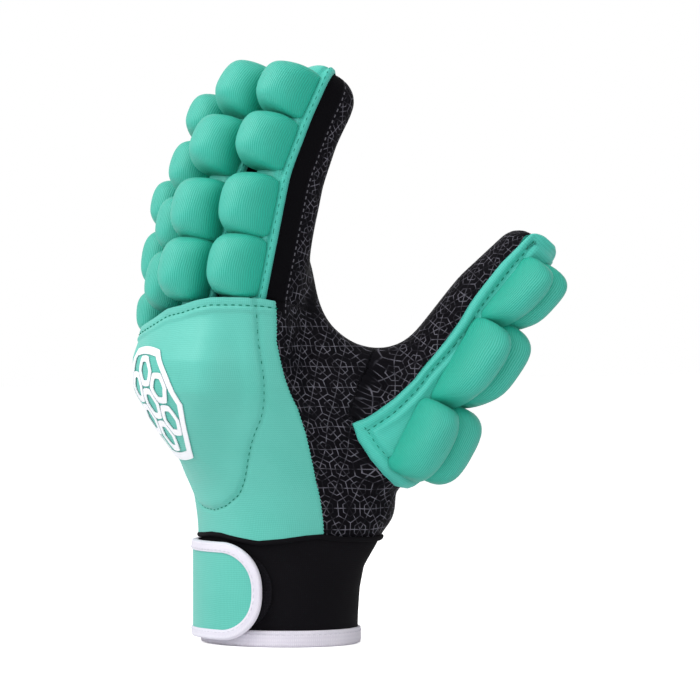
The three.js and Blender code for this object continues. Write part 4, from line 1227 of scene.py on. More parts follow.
def plumped(pillow):
    """The pillow blown up by a short simulation, or as it is where that is skipped."""
    grid, cloth = pillow
    item = put("pillow", *closed_tube(grid * SIM_SCALE))
    even = remesh(item, SIM_CELL)
    height = grid[..., 2].max() * SIM_SCALE
    foot = item.vertex_groups.new(name="sewn foot")
    for vertex in even.vertices:
        foot.add([vertex.index], float(1 - smooth_share(vertex.co.z / height, 0.05, 0.3)), "REPLACE")
    knit_sim = item.modifiers.new("stretched knit", "CLOTH")
    knit_sim.settings.vertex_group_mass = foot.name
    knit_sim.settings.use_pressure = True
    knit_sim.settings.uniform_pressure_force = SIM_PRESSURE
    knit_sim.settings.effector_weights.gravity = 0
    knit_sim.point_cache.frame_end = SIM_FRAMES
    for frame_number in range(1, SIM_FRAMES + 1):
        bpy.context.scene.frame_set(frame_number)
    tree = tree_of(*taken(item))
    bpy.context.scene.frame_set(1)
    out = grid.copy()
    core = np.array([0, 0, height * CORE_SHARE])
    for index in np.ndindex(grid.shape[:2]):
        start = grid[index] * SIM_SCALE - core
        ray = unit(start)
        hit, _, _, gap = tree.ray_cast(Vector(core), Vector(ray), 1)
        if hit is not None:
            out[index] += ray * np.clip(gap - np.linalg.norm(start), -SIM_CAP, SIM_CAP) / SIM_SCALE
    print("pillow moved up to", round(float(np.abs(out - grid).max()) / MM, 2), "mm")
    return out, cloth


# %% Pads of the fingers
PAD_STEPS = {
    "index": [0.4, -1, -1.8, -3.6, -5.6],
    "middle": [-0.6, -1, -1.8, -3.4, -5.2],
    "ring": [-2, -0.6, -1, -1.6, -2.6],
    "little": [-0.8, -0.4, -0.8, -1.2],
}
PAD_LIFT = 1.4 * MM
PAD_OVERLAP = 1.0 * MM
finger_pillow = plumped(pad_grid(PAD_HALF_WIDTH, PAD_HALF_LENGTH, PAD_THICK))
finger_seat = tree_of(*joined([(sheet.points, sheet.faces) for _, sheet in flanges.values()]))
for name, bone in bones.items():
    girth, lengths = FINGERS[name]["girth"], np.array(FINGERS[name]["pads"]) * MM
    edges = np.concatenate([[0], np.cumsum(lengths)]) + np.array(PAD_STEPS[name]) * MM
    links = ["proximal"] * (len(lengths) - 2) + ["middle", "distal"]
    for number, (low, high, link) in enumerate(zip(edges, edges[1:], links), 1):
        s = np.array([(low + high) / 2])
        along = unit(bone.at(s, bone.along)[0])
        out = -unit(np.cross(np.array([0, 1.0, 0]), along))
        place = bone.at(s, bone.line)[0] + out * (SLEEVE_BACK * girth + PAD_LIFT)
        sizes = (girth, (high - low + PAD_OVERLAP) / (2 * PAD_HALF_LENGTH), girth)
        pad = pad_piece(f"{name}_foam_pad_{number}", finger_pillow, sizes, place, along, out, finger_seat)
        declare(pad, f"{name}_{link}", (f"{name}_pad_{number}",))
print("finger pads", sum(len(facts["pads"]) for facts in FINGERS.values()))

# %% [markdown]
# ## The guard of the thumb
# The thumb's flange is broader: it starts as a round tongue on the ball of the thumb and wraps the back
# of the thumb up to its tip. It has to lie on the inner glove, so a ray is cast from outside towards the
# thumb's bone for every point of the sheet, and the sheet lies just above where the ray lands.

# %% The outline of the guard
# Distances along the thumb in mm with directions round it, and the other way round for the tongue.
NEAR_EDGE = np.array([
    [5.8, 77], [7.9, 79], [15.4, 91], [23.1, 103], [33.7, 114], [53.3, 121], [63.6, 122], [79.5, 116],
    [91.7, 112], [106, 115],
])
TONGUE = np.array([
    [77, 5.8], [91, 0.6], [116, -3.2], [146, -6.2], [180, -8], [205, -7.5], [225, -4], [240, 3],
])
NEAR_START, FAR_EDGE = 77, 240
SEAM_INSET = np.array([[-10, 6.6], [15, 6.4], [40, 4.4], [66, 5.2], [90, 5.2], [110, 4.6]])
GUARD_OUT = 2.4 * MM
GUARD_LIP = 1.6 * MM
HOOD_START = thumb.total - 8 * MM
HOOD_RADIUS = 8.3 * MM
HOOD_CORNERS = (3.5 * MM, 8 * MM)
HOOD_CORNER_SHARE = 0.35
HOOD_FOAM = 2.2 * MM
OUTSIDE = 45 * MM

spread = in_three((0, 0.14, 0.9, 1), (14, 44, 10))[None, :]
rise = in_three((0, 0.1, 0.9, 1), (14, 80, 14))[:, None]
rise[-14:, 0] = 0.9 + 0.1 * np.sin(np.linspace(0, math.pi / 2, 14))
tongue_start = read(TONGUE, NEAR_START + (FAR_EDGE - NEAR_START) * spread) * MM
top_line = HOOD_START + HOOD_RADIUS * 1.05
for corner, from_side in zip(HOOD_CORNERS, (spread, 1 - spread)):
    away = 1 - np.clip(from_side / HOOD_CORNER_SHARE, 0, 1)
    top_line = top_line - corner * (1 - np.sqrt(1 - away**2))
guard_s = tongue_start + (top_line - tongue_start) * rise
near_turn = read(NEAR_EDGE, guard_s / MM)
guard_turn = np.radians(near_turn + (FAR_EDGE - near_turn) * spread)[..., None]
print("guard", guard_s.shape)

# %% The guard
on_bone = np.minimum(guard_s, HOOD_START)
middle = thumb.at(on_bone, thumb.line)
front, side = thumb.at(on_bone, thumb.front), thumb.at(on_bone, thumb.side)
outward = np.cos(guard_turn) * front + np.sin(guard_turn) * side
reach = np.zeros(guard_s.shape)
for index in np.ndindex(reach.shape):
    start = Vector(middle[index] + outward[index] * OUTSIDE)
    hit, _, _, gap = form_tree.ray_cast(start, Vector(-outward[index]), OUTSIDE)
    reach[index] = 0.5 * MM if hit is None else OUTSIDE - gap
for _ in range(6):
    edge = np.pad(reach, 1, mode="edge")
    reach = (edge[:-2, 1:-1] + edge[2:, 1:-1] + edge[1:-1, :-2] + edge[1:-1, 2:] + 4 * reach) / 8

# Past the end of the bone the rows bend over its tip, as a hood.
hood = (np.maximum(guard_s - HOOD_START, 0) / HOOD_RADIUS)[..., None]
tip_way = unit(thumb.at(np.array([HOOD_START]), thumb.along)[0])
middle = middle + HOOD_RADIUS * np.sin(hood) * tip_way + outward * reach[..., None] * np.cos(hood)
outward = outward * np.cos(hood) + tip_way * np.sin(hood)
guard_across, guard_up = [running(middle + outward * GUARD_OUT, axis) for axis in (1, 0)]
end_gap = guard_up[-1:] - guard_up
edge_gap = np.minimum.reduce([guard_across, guard_across[:, -1:] - guard_across, guard_up, end_gap])
guard_inset = read(SEAM_INSET, guard_s / MM) * MM
guard_out = 0.4 * MM + (GUARD_OUT + HOOD_FOAM * np.sin(hood[..., 0])) * lip_rise(edge_gap, GUARD_LIP)
guard_out += 0.9 * MM * ridge(edge_gap, 0.55 * guard_inset, 0.3 * guard_inset)
guard_out -= 1.1 * MM * ridge(edge_gap, guard_inset, 0.9 * MM)
guard_out += 0.9 * MM * ridge(edge_gap, guard_inset + 2.6 * MM, 1.3 * MM)
guard_points = middle + outward * guard_out[..., None]
guard_thick = np.maximum(guard_out - 0.1 * MM, 0.25 * MM)
guard_sheet = grid_sheet(guard_points, guard_thick, pair(guard_across, guard_s), {"along": guard_s})
facts = ("guard", "guard", mint_knit, "mint_fabric", ["thumb_root_guard"])
sew_panels("thumb", guard_sheet, True, guard_sheet.along(), *facts)
print("the form reaches from", reach.min(), "to", reach.max(), "m under the guard")

# %% Pads of the thumb
# Each pair of pads, in mm and degrees: where it starts and ends at its foot and at its top, and how far
# the feet of the two lie apart round the thumb. The inner pad sits a little further along.
THUMB_PADS = {
    "hand": {
        "foot": (-2.7, 29.7), "top": (-2, 32), "turn": 21, "half_width": 8.6, "thick": 17.5, "inner": 2.5},
    "thumb_middle": {
        "foot": (29.7, 69.4), "top": (39, 72.4), "turn": 17, "half_width": 6.8, "thick": 19.5, "inner": 3},
    "thumb_distal": {
        "foot": (69.4, 101.5), "top": (77, 105), "turn": 18, "half_width": 6.2, "thick": 15.5, "inner": 1.8},
}
THUMB_PAD_LEAN = 10
THUMB_PAD_HALF_WIDTH, THUMB_PAD_THICK = 7, 17.5
THUMB_PAD_SINK = 1.6 * MM
THUMB_PAD_OVERLAP = 0.8 * MM


def across_thumb(s, degrees):
    """The direction out of the back of the thumb, turned round it."""
    turn = math.radians(degrees)
    return -math.cos(turn) * thumb.at(s, thumb.front)[0] + math.sin(turn) * thumb.at(s, thumb.side)[0]


pillow_thick = THUMB_PAD_THICK * MM
grid, cloth = plumped(pad_grid(THUMB_PAD_HALF_WIDTH * MM, pillow_thick, pillow_thick))
thumb_seat = tree_of(guard_sheet.points, guard_sheet.faces)
share = grid[..., 2] / grid[..., 2].max()
for number, (link, facts) in enumerate(THUMB_PADS.items(), 1):
    for side, sign, shift in (("inner", -1, facts["inner"] * MM), ("outer", 1, 0)):
        feet, tops = [np.array(facts[end]) * MM + shift for end in ("foot", "top")]
        s = np.array([feet.mean()])
        low, high = [foot + (top - foot) * share - s for foot, top in zip(feet, tops)]
        length = high - low + THUMB_PAD_OVERLAP
        leaning = grid.copy()
        leaning[..., 1] = (low + high) / 2 + grid[..., 1] / pillow_thick * length / 2
        base_radius = float(thumb_sizes(s)[0][0]) + GUARD_OUT - THUMB_PAD_SINK
        place = thumb.at(s, thumb.line)[0] + across_thumb(s, sign * facts["turn"]) * base_radius
        sizes = (facts["half_width"] / THUMB_PAD_HALF_WIDTH, 1, facts["thick"] / THUMB_PAD_THICK)
        along, out = thumb.at(s, thumb.along)[0], across_thumb(s, sign * THUMB_PAD_LEAN)
        title = f"{number}_{side}"
        pad = pad_piece(f"thumb_foam_pad_{title}", (leaning, cloth), sizes, place, along, out, thumb_seat)
        declare(pad, link, (f"thumb_pad_{title}",))
print("pads of the thumb", 2 * len(THUMB_PADS))

# %% [markdown]
# ## The wrist
# The glove closes with a band of neoprene: thin black rubber foam with a knit face. White tape is folded
# over its rim, a black cord edges its wavy top, and a strap of mint knit with a white border wraps the
# back of the wrist, sewn down below the little finger and pressed onto a patch of loop pile.

# %% The outline of the wrist
CUFF_HALF_DEPTH = 32.6 * MM
CUFF_HALF_WIDTH = 39 * MM
# A share of the cuff's height, and how far its outline has turned there into the hand's.
CUFF_ROW_SHARES = np.array([
    [0, 0], [0.26, 0.04], [0.52, 0.15], [0.72, 0.36], [0.82, 0.62], [0.94, 0.9], [1, 1], [1.2, 1],
])
CUFF_SHIFT = np.array([1.3, 0, 0]) * MM
CUFF_THICK = 3.4 * MM
CUFF_BOTTOM = 1.6 * MM
BINDING_HEIGHT = 6.8 * MM
TAPE = 1.2 * MM
PIPING = 1.1 * MM


def cuff_point(angle, height, out=0.0):
    """Points on the wrist below the hand, where an upright oval turns into the hand's lowest outline."""
    angle, height, out = np.broadcast_arrays(np.asarray(angle, float), height, out)
    mix = read(CUFF_ROW_SHARES, height / CUFF_HEIGHT)
    c, s = np.cos(np.radians(angle)), np.sin(np.radians(angle))
    radius = 1 / np.hypot(c / CUFF_HALF_DEPTH, s / CUFF_HALF_WIDTH) + out
    plain = np.stack([radius * (c + KNUCKLE_SKEW * s), radius * s, height], axis=-1) + WRIST + CUFF_SHIFT
    upper = hand_point(angle, np.maximum(height, CUFF_HEIGHT), out)
    upper[..., 2] = height
    return plain + (upper - plain) * mix[..., None]


def at_height(points, height):
    """The same points with another height."""
    points[..., 2] = height
    return points


def round_wrist(angles):
    """The length round the wrist for each angle, as a flat coordinate."""
    return np.radians(angles)[None, :] * CUFF_HALF_WIDTH


def ring_faces(rows, columns, closed=True):
    """Quads of a grid whose last row also joins its first, as in a tube bent into a ring."""
    last = (rows - 1) * columns
    steps = columns if closed else columns - 1
    seam = [[last + j, last + (j + 1) % columns, (j + 1) % columns, j] for j in range(steps)]
    return grid_faces(rows, columns, closed) + seam


def wrist_ring(name, profile, material, start=0.0, mapped=True):
    """A ring round the wrist with a closed profile of distances and heights."""
    points = np.stack([cuff_point(round_angles, start + z, out) for out, z in profile], axis=0)
    flat = pair(round_wrist(round_angles), np.array([z - out for out, z in profile])[:, None]).reshape(-1, 2)
    faces = ring_faces(*points.shape[:2])
    return put(name, points.reshape(-1, 3), faces, material, flat if mapped else None)


print("front of the wrist, half way up the cuff", cuff_point(0, CUFF_HEIGHT / 2))

# %% Cuff, binding and piping
round_angles = ring_of(240, -270, 90)
cuff_top = read(WAVE_LINE, round_angles)[None, :] * MM
cuff_share = np.linspace(0, 1, 44)[:, None]
cuff_height = CUFF_BOTTOM + (cuff_top - CUFF_BOTTOM) * cuff_share
cuff_out = -TAPE + 0.8 * MM * smooth_share(cuff_share, 0.75, 1)
cuff_points = cuff_point(round_angles[None, :], cuff_height, cuff_out)
cuff_flat = pair(round_wrist(round_angles), cuff_height)
cuff = shell("wrist_band", grid_sheet(cuff_points, CUFF_THICK, cuff_flat, closed=True), neoprene)
declare(cuff, "hand", ("wrist_cuff",))

inner_face = -TAPE - CUFF_THICK - 0.4 * MM
profile = [
    (0.05 * MM, 0.4 * MM), (0.3 * MM, 1.6 * MM), (0.2 * MM, 4 * MM), (0.1 * MM, 6.4 * MM),
    (-0.3 * MM, BINDING_HEIGHT), (-TAPE, BINDING_HEIGHT), (-TAPE, 1.4 * MM), (inner_face, 1.4 * MM),
    (inner_face, BINDING_HEIGHT), (inner_face - TAPE, BINDING_HEIGHT), (inner_face - TAPE, 0.6 * MM),
    (inner_face - 0.3 * MM, 0), (-0.9 * MM, 0),
]
declare(wrist_ring("rim_binding", profile, white_tape), "hand", ("cuff_binding",))
cord = [(0.5 * MM + PIPING * math.cos(t), PIPING * math.sin(t)) for t in np.radians(ring_of(10))]
declare(wrist_ring("wrist_piping", cord, neoprene, cuff_top[0], mapped=False), "hand")
print("wrist", len(cuff.data.polygons))

# %% [markdown]
# The strap is a flat sheet with a round end. Its white border is a tape folded over its edge, so the two
# are made on one grid: the distance from the edge says where the tape ends and how thick the strap is
# there.

# %% The strap
STRAP_LOW = 2.4 * MM
STRAP_TOP = 42.4 * MM
STRAP_SEWN, STRAP_SPLIT, STRAP_TIP = 101, 140, 231.5
STRAP_THICK = 2.4 * MM
STRAP_LIFT = 1.5 * MM
STRAP_LIFTED_BY = 55 * MM
BORDER = 4.3 * MM
BORDER_OVERLAP = 0.8 * MM
MID_HEIGHT = 12 * MM
END_SQUARE = 2.4
END_CLOSER = 1.6
strap_middle = (STRAP_LOW + STRAP_TOP) / 2
strap_half = (STRAP_TOP - STRAP_LOW) / 2
strap_angles = np.linspace(STRAP_SEWN, STRAP_TIP + 20, 400)
strap_lengths = running(cuff_point(strap_angles, 10 * MM, 3 * MM))
split_length, tip_length = np.interp([STRAP_SPLIT, STRAP_TIP], strap_angles, strap_lengths)


def strap_out(length):
    """The strap starts on the cuff and is lifted over the hook patch towards its tip."""
    return 0.3 * MM + STRAP_LIFT * smooth_share(length, 0, STRAP_LIFTED_BY)


def strap_point(length, height, extra):
    """Points on the strap, or outside it, at lengths along it."""
    angle = np.interp(length, strap_lengths, strap_angles)
    out = strap_out(length) + STRAP_THICK + extra
    return at_height(cuff_point(angle, MID_HEIGHT + 0 * height, out), height)


def rounded_rows(middle, reach, count):
    """Heights of a number of rows between the two edges of a band, closer at the edges."""
    return middle + np.sin(np.linspace(-math.pi / 2, math.pi / 2, count))[:, None] * reach[None, :]


def strap_face(inset, lengthwise=120, across=26):
    """Points of the strap's face inside its border, with their cloth coordinates."""
    length = (1 - (1 - np.linspace(0, 1, lengthwise)) ** END_CLOSER) * (tip_length - inset)
    past = np.clip((length - (tip_length - strap_half)) / (strap_half - inset), 0, 1)
    reach = (strap_half - inset) * np.sqrt(np.maximum(1 - past ** END_SQUARE, 0))
    height = rounded_rows(strap_middle, reach, across)
    length = length[None, :] + 0 * height
    return grid_sheet(strap_point(length, height, 0.0), STRAP_THICK, pair(length, height), {"along": length})


def tape_ring(inset, out):
    """A line all along the strap's edge, from one sewn corner round the tip to the other."""
    straight = np.linspace(0, tip_length - strap_half, 60)
    bow = np.linspace(0, math.pi / 2, 30)[1:]
    length = np.concatenate([straight, straight[-1] + (strap_half - inset) * np.sin(bow)])
    reach = (strap_half - inset) * np.concatenate([np.ones(len(straight)), np.cos(bow) ** (2 / END_SQUARE)])
    length = np.concatenate([length, length[-2::-1]])
    return strap_point(length, strap_middle + np.concatenate([-reach, reach[-2::-1]]), out), length


print("strap from", STRAP_SEWN, "to", STRAP_TIP, "degrees,", tip_length, "m long")

# %% The strap's face and its border
# The border tape in section: distance from the strap's edge and distance outside its face, both in mm.
TAPE_SECTION = np.array([
    [4.3, 0.15], [4.15, 0.55], [3, 0.7], [1.2, 0.65], [0.35, 0.2], [0, -1.2], [0.35, -2.5], [1.2, -2.75],
    [4.3, -2.7],
]) * MM
core = strap_face(BORDER - BORDER_OVERLAP)
rings = [tape_ring(inset, out) for inset, out in TAPE_SECTION]
tape_points, tape_length = [np.stack(values) for values in zip(*rings)]
tape_faces = np.array(ring_faces(*tape_points.shape[:2], closed=False))
tape_normals = point_normals(tape_points.reshape(-1, 3), tape_faces.tolist())
tape_flat = pair(running(tape_points, 1), (TAPE_SECTION[:, 0] - TAPE_SECTION[:, 1])[:, None]).reshape(-1, 2)
print("strap", len(core.points), "tape", tape_points.shape)

# %% Panels of the strap
# Each part of the strap: its joint, the angles between which it bends, and the solid that it stands for.
STRAP_PARTS = {
    "sewn": ("strap_swing", (STRAP_SEWN - 1, STRAP_SEWN + 9), "strap_band"),
    "free": ("strap_peel", (165, 187), "strap_tip"),
}


def strap_bend(piece, title):
    joint, zone, _ = STRAP_PARTS[title]
    start, end = [tuple(cuff_point(angle, strap_middle, 0.0)) for angle in zone]
    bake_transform(piece)


for title, (_, _, node) in STRAP_PARTS.items():
    core_keep, tape_keep = [
        (length < split_length) == (title == "sewn")
        for length in (core.along(), tape_length.reshape(-1)[tape_faces].mean(axis=1))]
    face_piece = shell(f"strap_{title}_face", core.part(core_keep), cover_knit)
    strap_bend(face_piece, title)
    declare(face_piece, nodes=(node,))
    picked = tape_faces[tape_keep]
    used, places = np.unique(picked, return_inverse=True)
    border = put(
        f"strap_{title}_border", tape_points.reshape(-1, 3)[used], places.reshape(picked.shape).tolist(),
        white_tape, tape_flat[used], corner_normals=tape_normals[picked].reshape(-1, 3))
    strap_bend(border, title)
    declare(border)
print("strap pieces made")

# %% Patches of the closure
# Each patch: its angles, its heights and its distance outside the wrist, and the body and the solid that
# it goes with.
PATCHES = {
    "loop_pile_patch": ((150, 237), (7.4 * MM, 37.9 * MM), 0.0, "hand", "loop_patch"),
    "hook_pile_patch": ((188, 214), (8.4 * MM, 36.4 * MM), 1.35 * MM, "strap_tip", "hook_patch"),
}
PATCH_THICK = 1.1 * MM
for name, ((first, last), (low, high), out, body, node) in PATCHES.items():
    angles = first + (last - first) * (1 - (1 - np.linspace(0, 1, 60)) ** END_CLOSER)
    end_arc = math.degrees((high - low) / 2 / CUFF_HALF_DEPTH)
    past = np.clip((angles - (last - end_arc)) / end_arc, 0, 1)
    reach = (high - low) / 2 * np.sqrt(np.maximum(1 - past ** END_SQUARE, 0.0004))
    height = rounded_rows((low + high) / 2, reach, 22)
    points = at_height(cuff_point(angles[None, :], MID_HEIGHT + 0 * height, out), height)
    piece = shell(name, grid_sheet(points, PATCH_THICK, pair(round_wrist(angles), height)), loop_pile)
    declare(piece, body, (node,))
print("patches", list(PATCHES))

# %% [markdown]
# ## The motif
# A white transfer is pressed onto the crown of the back: here a cluster of hexagon rings inside a larger
# ring. Each ring is a thin band that follows the cover, because its points are set by the same function
# as the cover's own.

# %% The rings
MOTIF_ANGLE = -183.5
MOTIF_HEIGHT = 98.8 * MM
MOTIF_PER_DEGREE = 0.8 * MM
FILM_THICK = 0.28 * MM
OUTER_RING = (26 * MM, 22.6 * MM, 160)
CELL_RING = (7 * MM, 4.3 * MM, 72)
SPOKE = 13.2 * MM
SOFTNESS = 0.35


def hexagon(reach, angles):
    """Distance from the middle to a rounded hexagon's edge, in each direction."""
    turn = np.mod(np.degrees(angles), 60) - 30
    straight = reach * math.cos(math.radians(30)) / np.cos(np.radians(turn))
    return straight * (1 - SOFTNESS) + reach * 0.93 * SOFTNESS


def motif_band(name, middle, outer, inner, around):
    angles = np.linspace(0, 2 * math.pi, around, endpoint=False)[None, :]
    share = np.linspace(0, 1, 5)[:, None]
    reach = hexagon(outer, angles) + (hexagon(inner, angles) - hexagon(outer, angles)) * share
    x, y = middle[0] + reach * np.cos(angles), middle[1] + reach * np.sin(angles)
    points = cover_place(MOTIF_ANGLE + x / MOTIF_PER_DEGREE, MOTIF_HEIGHT + y, FILM_THICK)
    faces = [face[::-1] for face in grid_faces(*points.shape[:2], closed=True)]
    sheet = Sheet(points.reshape(-1, 3), faces, FILM_THICK + 0.1 * MM, pair(x, y).reshape(-1, 2))
    declare(shell(name, sheet, film), "hand")


motif_band("motif_outer_ring", (0, 0), *OUTER_RING)
motif_band("motif_cell_0", (0, 0), *CELL_RING)
for number, turn in enumerate(np.radians(ring_of(6, 30, 390)), 1):
    motif_band(f"motif_cell_{number}", (SPOKE * math.cos(turn), SPOKE * math.sin(turn)), *CELL_RING)
print("rings of the motif", number + 2)

# %% [markdown]
# ## Stitches
# Every seam is a row of stitches, and a row follows a line, so one tree of geometry nodes makes them all:
# it spaces points along the line, stands a short bead of thread on each, turned along the line and laid
# on the cloth, and turns the beads into plain mesh. Its inputs are the sizes of a stitch and the thread.

# %% The tree
def stitch_nodes():
    """The tree that lays a row of stitches along a line."""
    tree = bpy.data.node_groups.new("row of stitches", "GeometryNodeTree")
    sizes = dict.fromkeys(("Stitch Pitch", "Stitch Length", "Thread Width"), "Float")
    for name, kind in {"Line": "Geometry", **sizes, "Thread": "Material"}.items():
        tree.interface.new_socket(name, in_out="INPUT", socket_type="NodeSocket" + kind)
    tree.interface.new_socket("Stitches", in_out="OUTPUT", socket_type="NodeSocketGeometry")
    grow = partial(add, tree)
    given = grow("NodeGroupInput").outputs
    line = grow("GeometryNodeMeshToCurve", given["Line"])
    spacing = {"Curve": line, "Length": given["Stitch Pitch"]}
    spaced = grow("GeometryNodeResampleCurve", named=spacing, mode="LENGTH")
    bead = grow("GeometryNodeMeshUVSphere", 6, 4, 0.5)
    tangent = {"Vector": grow("GeometryNodeInputTangent")}
    turned = grow("FunctionNodeAlignRotationToVector", named=tangent, axis="X")
    normal = grow("GeometryNodeInputNamedAttribute", "out", data_type="FLOAT_VECTOR")
    laid = {"Rotation": turned, "Vector": normal}
    laid = grow("FunctionNodeAlignRotationToVector", named=laid, axis="Z", pivot_axis="X")
    size = grow("CombineXYZ", given["Stitch Length"], given["Thread Width"], given["Thread Width"])
    rows = {"Points": spaced, "Instance": bead, "Rotation": laid, "Scale": size}
    beads = grow("GeometryNodeRealizeInstances", grow("GeometryNodeInstanceOnPoints", named=rows))
    smooth = {"Geometry": grow("GeometryNodeSetShadeSmooth", beads), "Material": given["Thread"]}
    grow("NodeGroupOutput", grow("GeometryNodeSetMaterial", named=smooth))
    return tree


stitch_row = stitch_nodes()
print("tree with", len(stitch_row.nodes), "nodes")

# %% Rows of stitches
# Each kind of stitch: its thread, and its pitch, length and width in mm.
COARSE = (green_thread, 3.1, 2.0, 0.55)
MIDDLING = (green_thread, 3.1, 2.0, 0.45)
FINE = (pale_thread, 2.6, 1.9, 0.4)


def stitches(name, lines, thread, pitch, length, width):
    """Rows of stitches along lines: each line is its points and the directions out of the cloth there."""
    edges, start = [], 0
    for line, _ in lines:
        edges += [(start + k, start + k + 1) for k in range(len(line) - 1)]
        start += len(line)
    mesh = bpy.data.meshes.new(name + "_line")
    mesh.from_pydata(np.vstack([line for line, _ in lines]).tolist(), edges, [])
    outs = unit(np.vstack([out for _, out in lines]))
    mesh.attributes.new("out", "FLOAT_VECTOR", "POINT").data.foreach_set("vector", outs.ravel())
    item = in_scene(name, mesh)
    modifier = item.modifiers.new("stitches", "NODES")
    modifier.node_group = stitch_row
    sizes = {"Stitch Pitch": pitch * MM, "Stitch Length": length * MM, "Thread Width": width * MM}
    values = {**sizes, "Thread": thread}
    for entry in stitch_row.interface.items_tree:
        if entry.name in values:
            modifier[entry.identifier] = values[entry.name]
    made = bake(item)
    made.name = name
    if "cloth" not in made.uv_layers:
        lay_flat(made, np.array([vertex.co[1:] for vertex in made.vertices]))
    return item


def level_line(points, values, level, raised=0.1 * MM):
    """The line across a grid's rows where a value that grows or falls along each row reaches a level."""
    rows, columns = points.shape[:2]
    normals = point_normals(points.reshape(-1, 3), grid_faces(rows, columns)).reshape(points.shape)
    line, outs = [], []
    for row, normal, value in zip(points, normals, values):
        over = value >= level
        cross = np.nonzero(over[1:] != over[:-1])[0]
        if len(cross):
            k = cross[0]
            t = (level - value[k]) / (value[k + 1] - value[k])
            line.append(row[k] + (row[k + 1] - row[k]) * t)
            outs.append(normal[k])
    return np.array(line) + np.array(outs) * raised, np.array(outs)


print("a stitch every", COARSE[1], "mm on the knit and", FINE[1], "mm on the tape")

# %% Seams of the cover and the guard
FLANGE_ROOM = 8 * MM
HEM_ROOM = 3.5 * MM
hem_seam = level_line(cover_points.transpose(1, 0, 2)[:, ::-1], below_hem.T[:, ::-1], HEM_SEAM)
declare(stitches("hem_stitches", [hem_seam], *COARSE), "hand")
shown = plateau_height < read(HEM_LINE, plateau_line[:, 1]) * MM - HEM_ROOM
foam_seam = [cover_place(plateau_line[shown, 1], plateau_height[shown], out) for out in (0.1 * MM, 2 * MM)]
foam_line = [(foam_seam[0], foam_seam[1] - foam_seam[0])]
declare(stitches("foam_stitches", foam_line, *COARSE), "hand")
seams = {}
for name, (grid, _) in flanges.items():
    across = running(grid, 1)
    wide = across[:, -1] > 2 * FLANGE_GROOVE + FLANGE_ROOM
    grid, across = grid[wide], across[wide]
    sides = [(grid, across), (grid[:, ::-1], (across[:, -1:] - across)[:, ::-1])]
    seams[name] = [level_line(*side, FLANGE_GROOVE) for side in sides]
inner_rows = np.minimum(guard_up, end_gap).mean(axis=1) > guard_inset.mean(axis=1)
seams["thumb"] = [level_line(guard_points[inner_rows], (guard_across - guard_inset)[inner_rows], 0)]
foot = level_line(guard_points.transpose(1, 0, 2)[8:-8], (guard_up - guard_inset).T[8:-8], 0)
for name, lines in seams.items():
    spots = limbs[name].find(lines[0][0])[0]
    for title, _, joint, start, end, zone in panels_of(name):
        keep = (spots >= start) & (spots < end)
        kept = [(line[: len(keep)][keep], outs[: len(keep)][keep]) for line, outs in lines]
        kept += [foot] if title == "lower" else []
        row = stitches(f"{name}_{title}_stitches", kept, *MIDDLING)
        bend_over(row, limbs[name], joint, zone)
        declare(row)
print("seams on the knit", len(seams))

# %% Seams of the wrist
BINDING_SEAM = 5.3 * MM
BORDER_SEAM = BORDER - 1 * MM
ring_angles = np.linspace(-270, 90, 300)
ring_line, ring_out = [cuff_point(ring_angles, BINDING_SEAM, out) for out in (0.25 * MM, 3 * MM)]
binding_seam = [(ring_line, ring_out - ring_line)]
declare(stitches("binding_stitches", binding_seam, *FINE), "hand")
(edge_points, edge_length), (deep_points, _) = [tape_ring(BORDER_SEAM, out) for out in (0.72 * MM, 3 * MM)]
for title in STRAP_PARTS:
    keep = (edge_length < split_length) == (title == "sewn")
    runs = np.split(np.arange(len(keep)), np.nonzero(np.diff(keep.astype(int)))[0] + 1)
    runs = [run for run in runs if keep[run[0]] and len(run) > 2]
    lines = [(edge_points[run], (deep_points - edge_points)[run]) for run in runs]
    row = stitches(f"strap_{title}_stitches", lines, *FINE)
    strap_bend(row, title)
    declare(row)
print("seams on the wrist")

# %% [markdown]
# ## Camera, floor, light and background
# The glove stands on a plain pale floor. Large soft lamps light it from the left, the front and above, as
# in a studio, and the world fills the shadows. For the camera, and for reflections, the world is white.

# %% The camera
MM_ACROSS = 287
CAMERA_DISTANCE = 3.0
TARGET = Vector((13.4, 12.2, 119.7)) * MM
SENSOR = 36


def way_to(azimuth, elevation):
    """The direction from the glove to a camera or a lamp, from its angles in degrees."""
    a, e = math.radians(azimuth), math.radians(elevation)
    return Vector((math.sin(a) * math.cos(e), -math.cos(a) * math.cos(e), math.sin(e)))


camera = in_scene("camera", bpy.data.cameras.new("camera"))
camera.data.sensor_width = SENSOR
camera.data.lens = SENSOR * CAMERA_DISTANCE / (MM_ACROSS * MM)
back = way_to(-32, 1.5)
camera.location = TARGET + back * CAMERA_DISTANCE
camera.rotation_euler = (-back).to_track_quat("-Z", "Y").to_euler()
bpy.context.scene.camera = camera
print("camera at", camera.location)

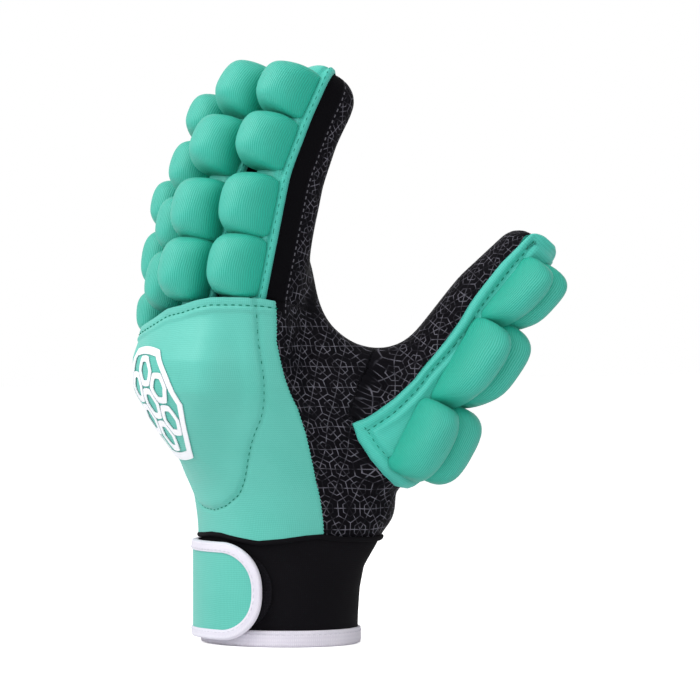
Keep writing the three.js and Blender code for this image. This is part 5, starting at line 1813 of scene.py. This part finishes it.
# %% Stage
FLOOR_SIZE = 3.0
FLOOR_GLOW = 0.6
WORLD_FILL = 0.42
# Each lamp: its two angles in degrees, its distance and size in metres, and its power in watts.
LAMPS = {
    "key_soft_box": (-104, 38, 1.0, 0.8, 8.1),
    "front_soft_box": (-12, 22, 1.2, 0.9, 4.2),
    "top_soft_box": (-50, 78, 1.0, 0.8, 2.4),
}

corners = np.array([(-1, -1, 0), (1, -1, 0), (1, 1, 0), (-1, 1, 0)]) * FLOOR_SIZE
white, grow = finish("matte white floor")
glow = grow("Math", grow("LightPath").outputs["Is Camera Ray"], FLOOR_GLOW, operation="MULTIPLY")
matte_white = {"Base Color": linear("#F4F4F5"), "Roughness": 0.9, "Emission Color": (1, 1, 1, 1)}
grow("OutputMaterial", grow("BsdfPrincipled", named={**matte_white, "Emission Strength": glow}))
put("studio_floor", corners, [[0, 1, 2, 3]], white)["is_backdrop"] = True

world = bpy.data.worlds.new("soft studio")
bpy.context.scene.world = world
world.use_nodes = True
world.node_tree.nodes.clear()
grow = partial(add, world.node_tree)
rays = grow("LightPath").outputs
seen = grow("Math", rays["Is Camera Ray"], rays["Is Glossy Ray"], operation="MAXIMUM")
seen = grow("Math", seen, rays["Is Transmission Ray"], operation="MAXIMUM")
strength = grow("MapRange", seen, 0, 1, WORLD_FILL, 1.0)
grow("OutputWorld", grow("Background", (1, 1, 1, 1), strength))

for name, (azimuth, elevation, distance, size, power) in LAMPS.items():
    lamp = in_scene(name, bpy.data.lights.new(name, "AREA"))
    lamp.data.energy = power
    lamp.data.size = size
    way = way_to(azimuth, elevation)
    lamp.location = TARGET + way * distance
    lamp.rotation_euler = way.to_track_quat("Z", "Y").to_euler()
bpy.context.scene.view_settings.view_transform = "Standard"
print("lamps", len(LAMPS))

# %% [markdown]
# ## Sizes
# The boxes of the plain model and of the finished one are printed side by side, so that any change of
# size by the looks can be seen.

# %% Print the sizes and finish
look_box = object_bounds()
boxes = {"cad": cad_box, "visual": look_box}
sizes = {name: [list(map(float, corner)) for corner in box] for name, box in boxes.items()}
print(json.dumps(sizes))
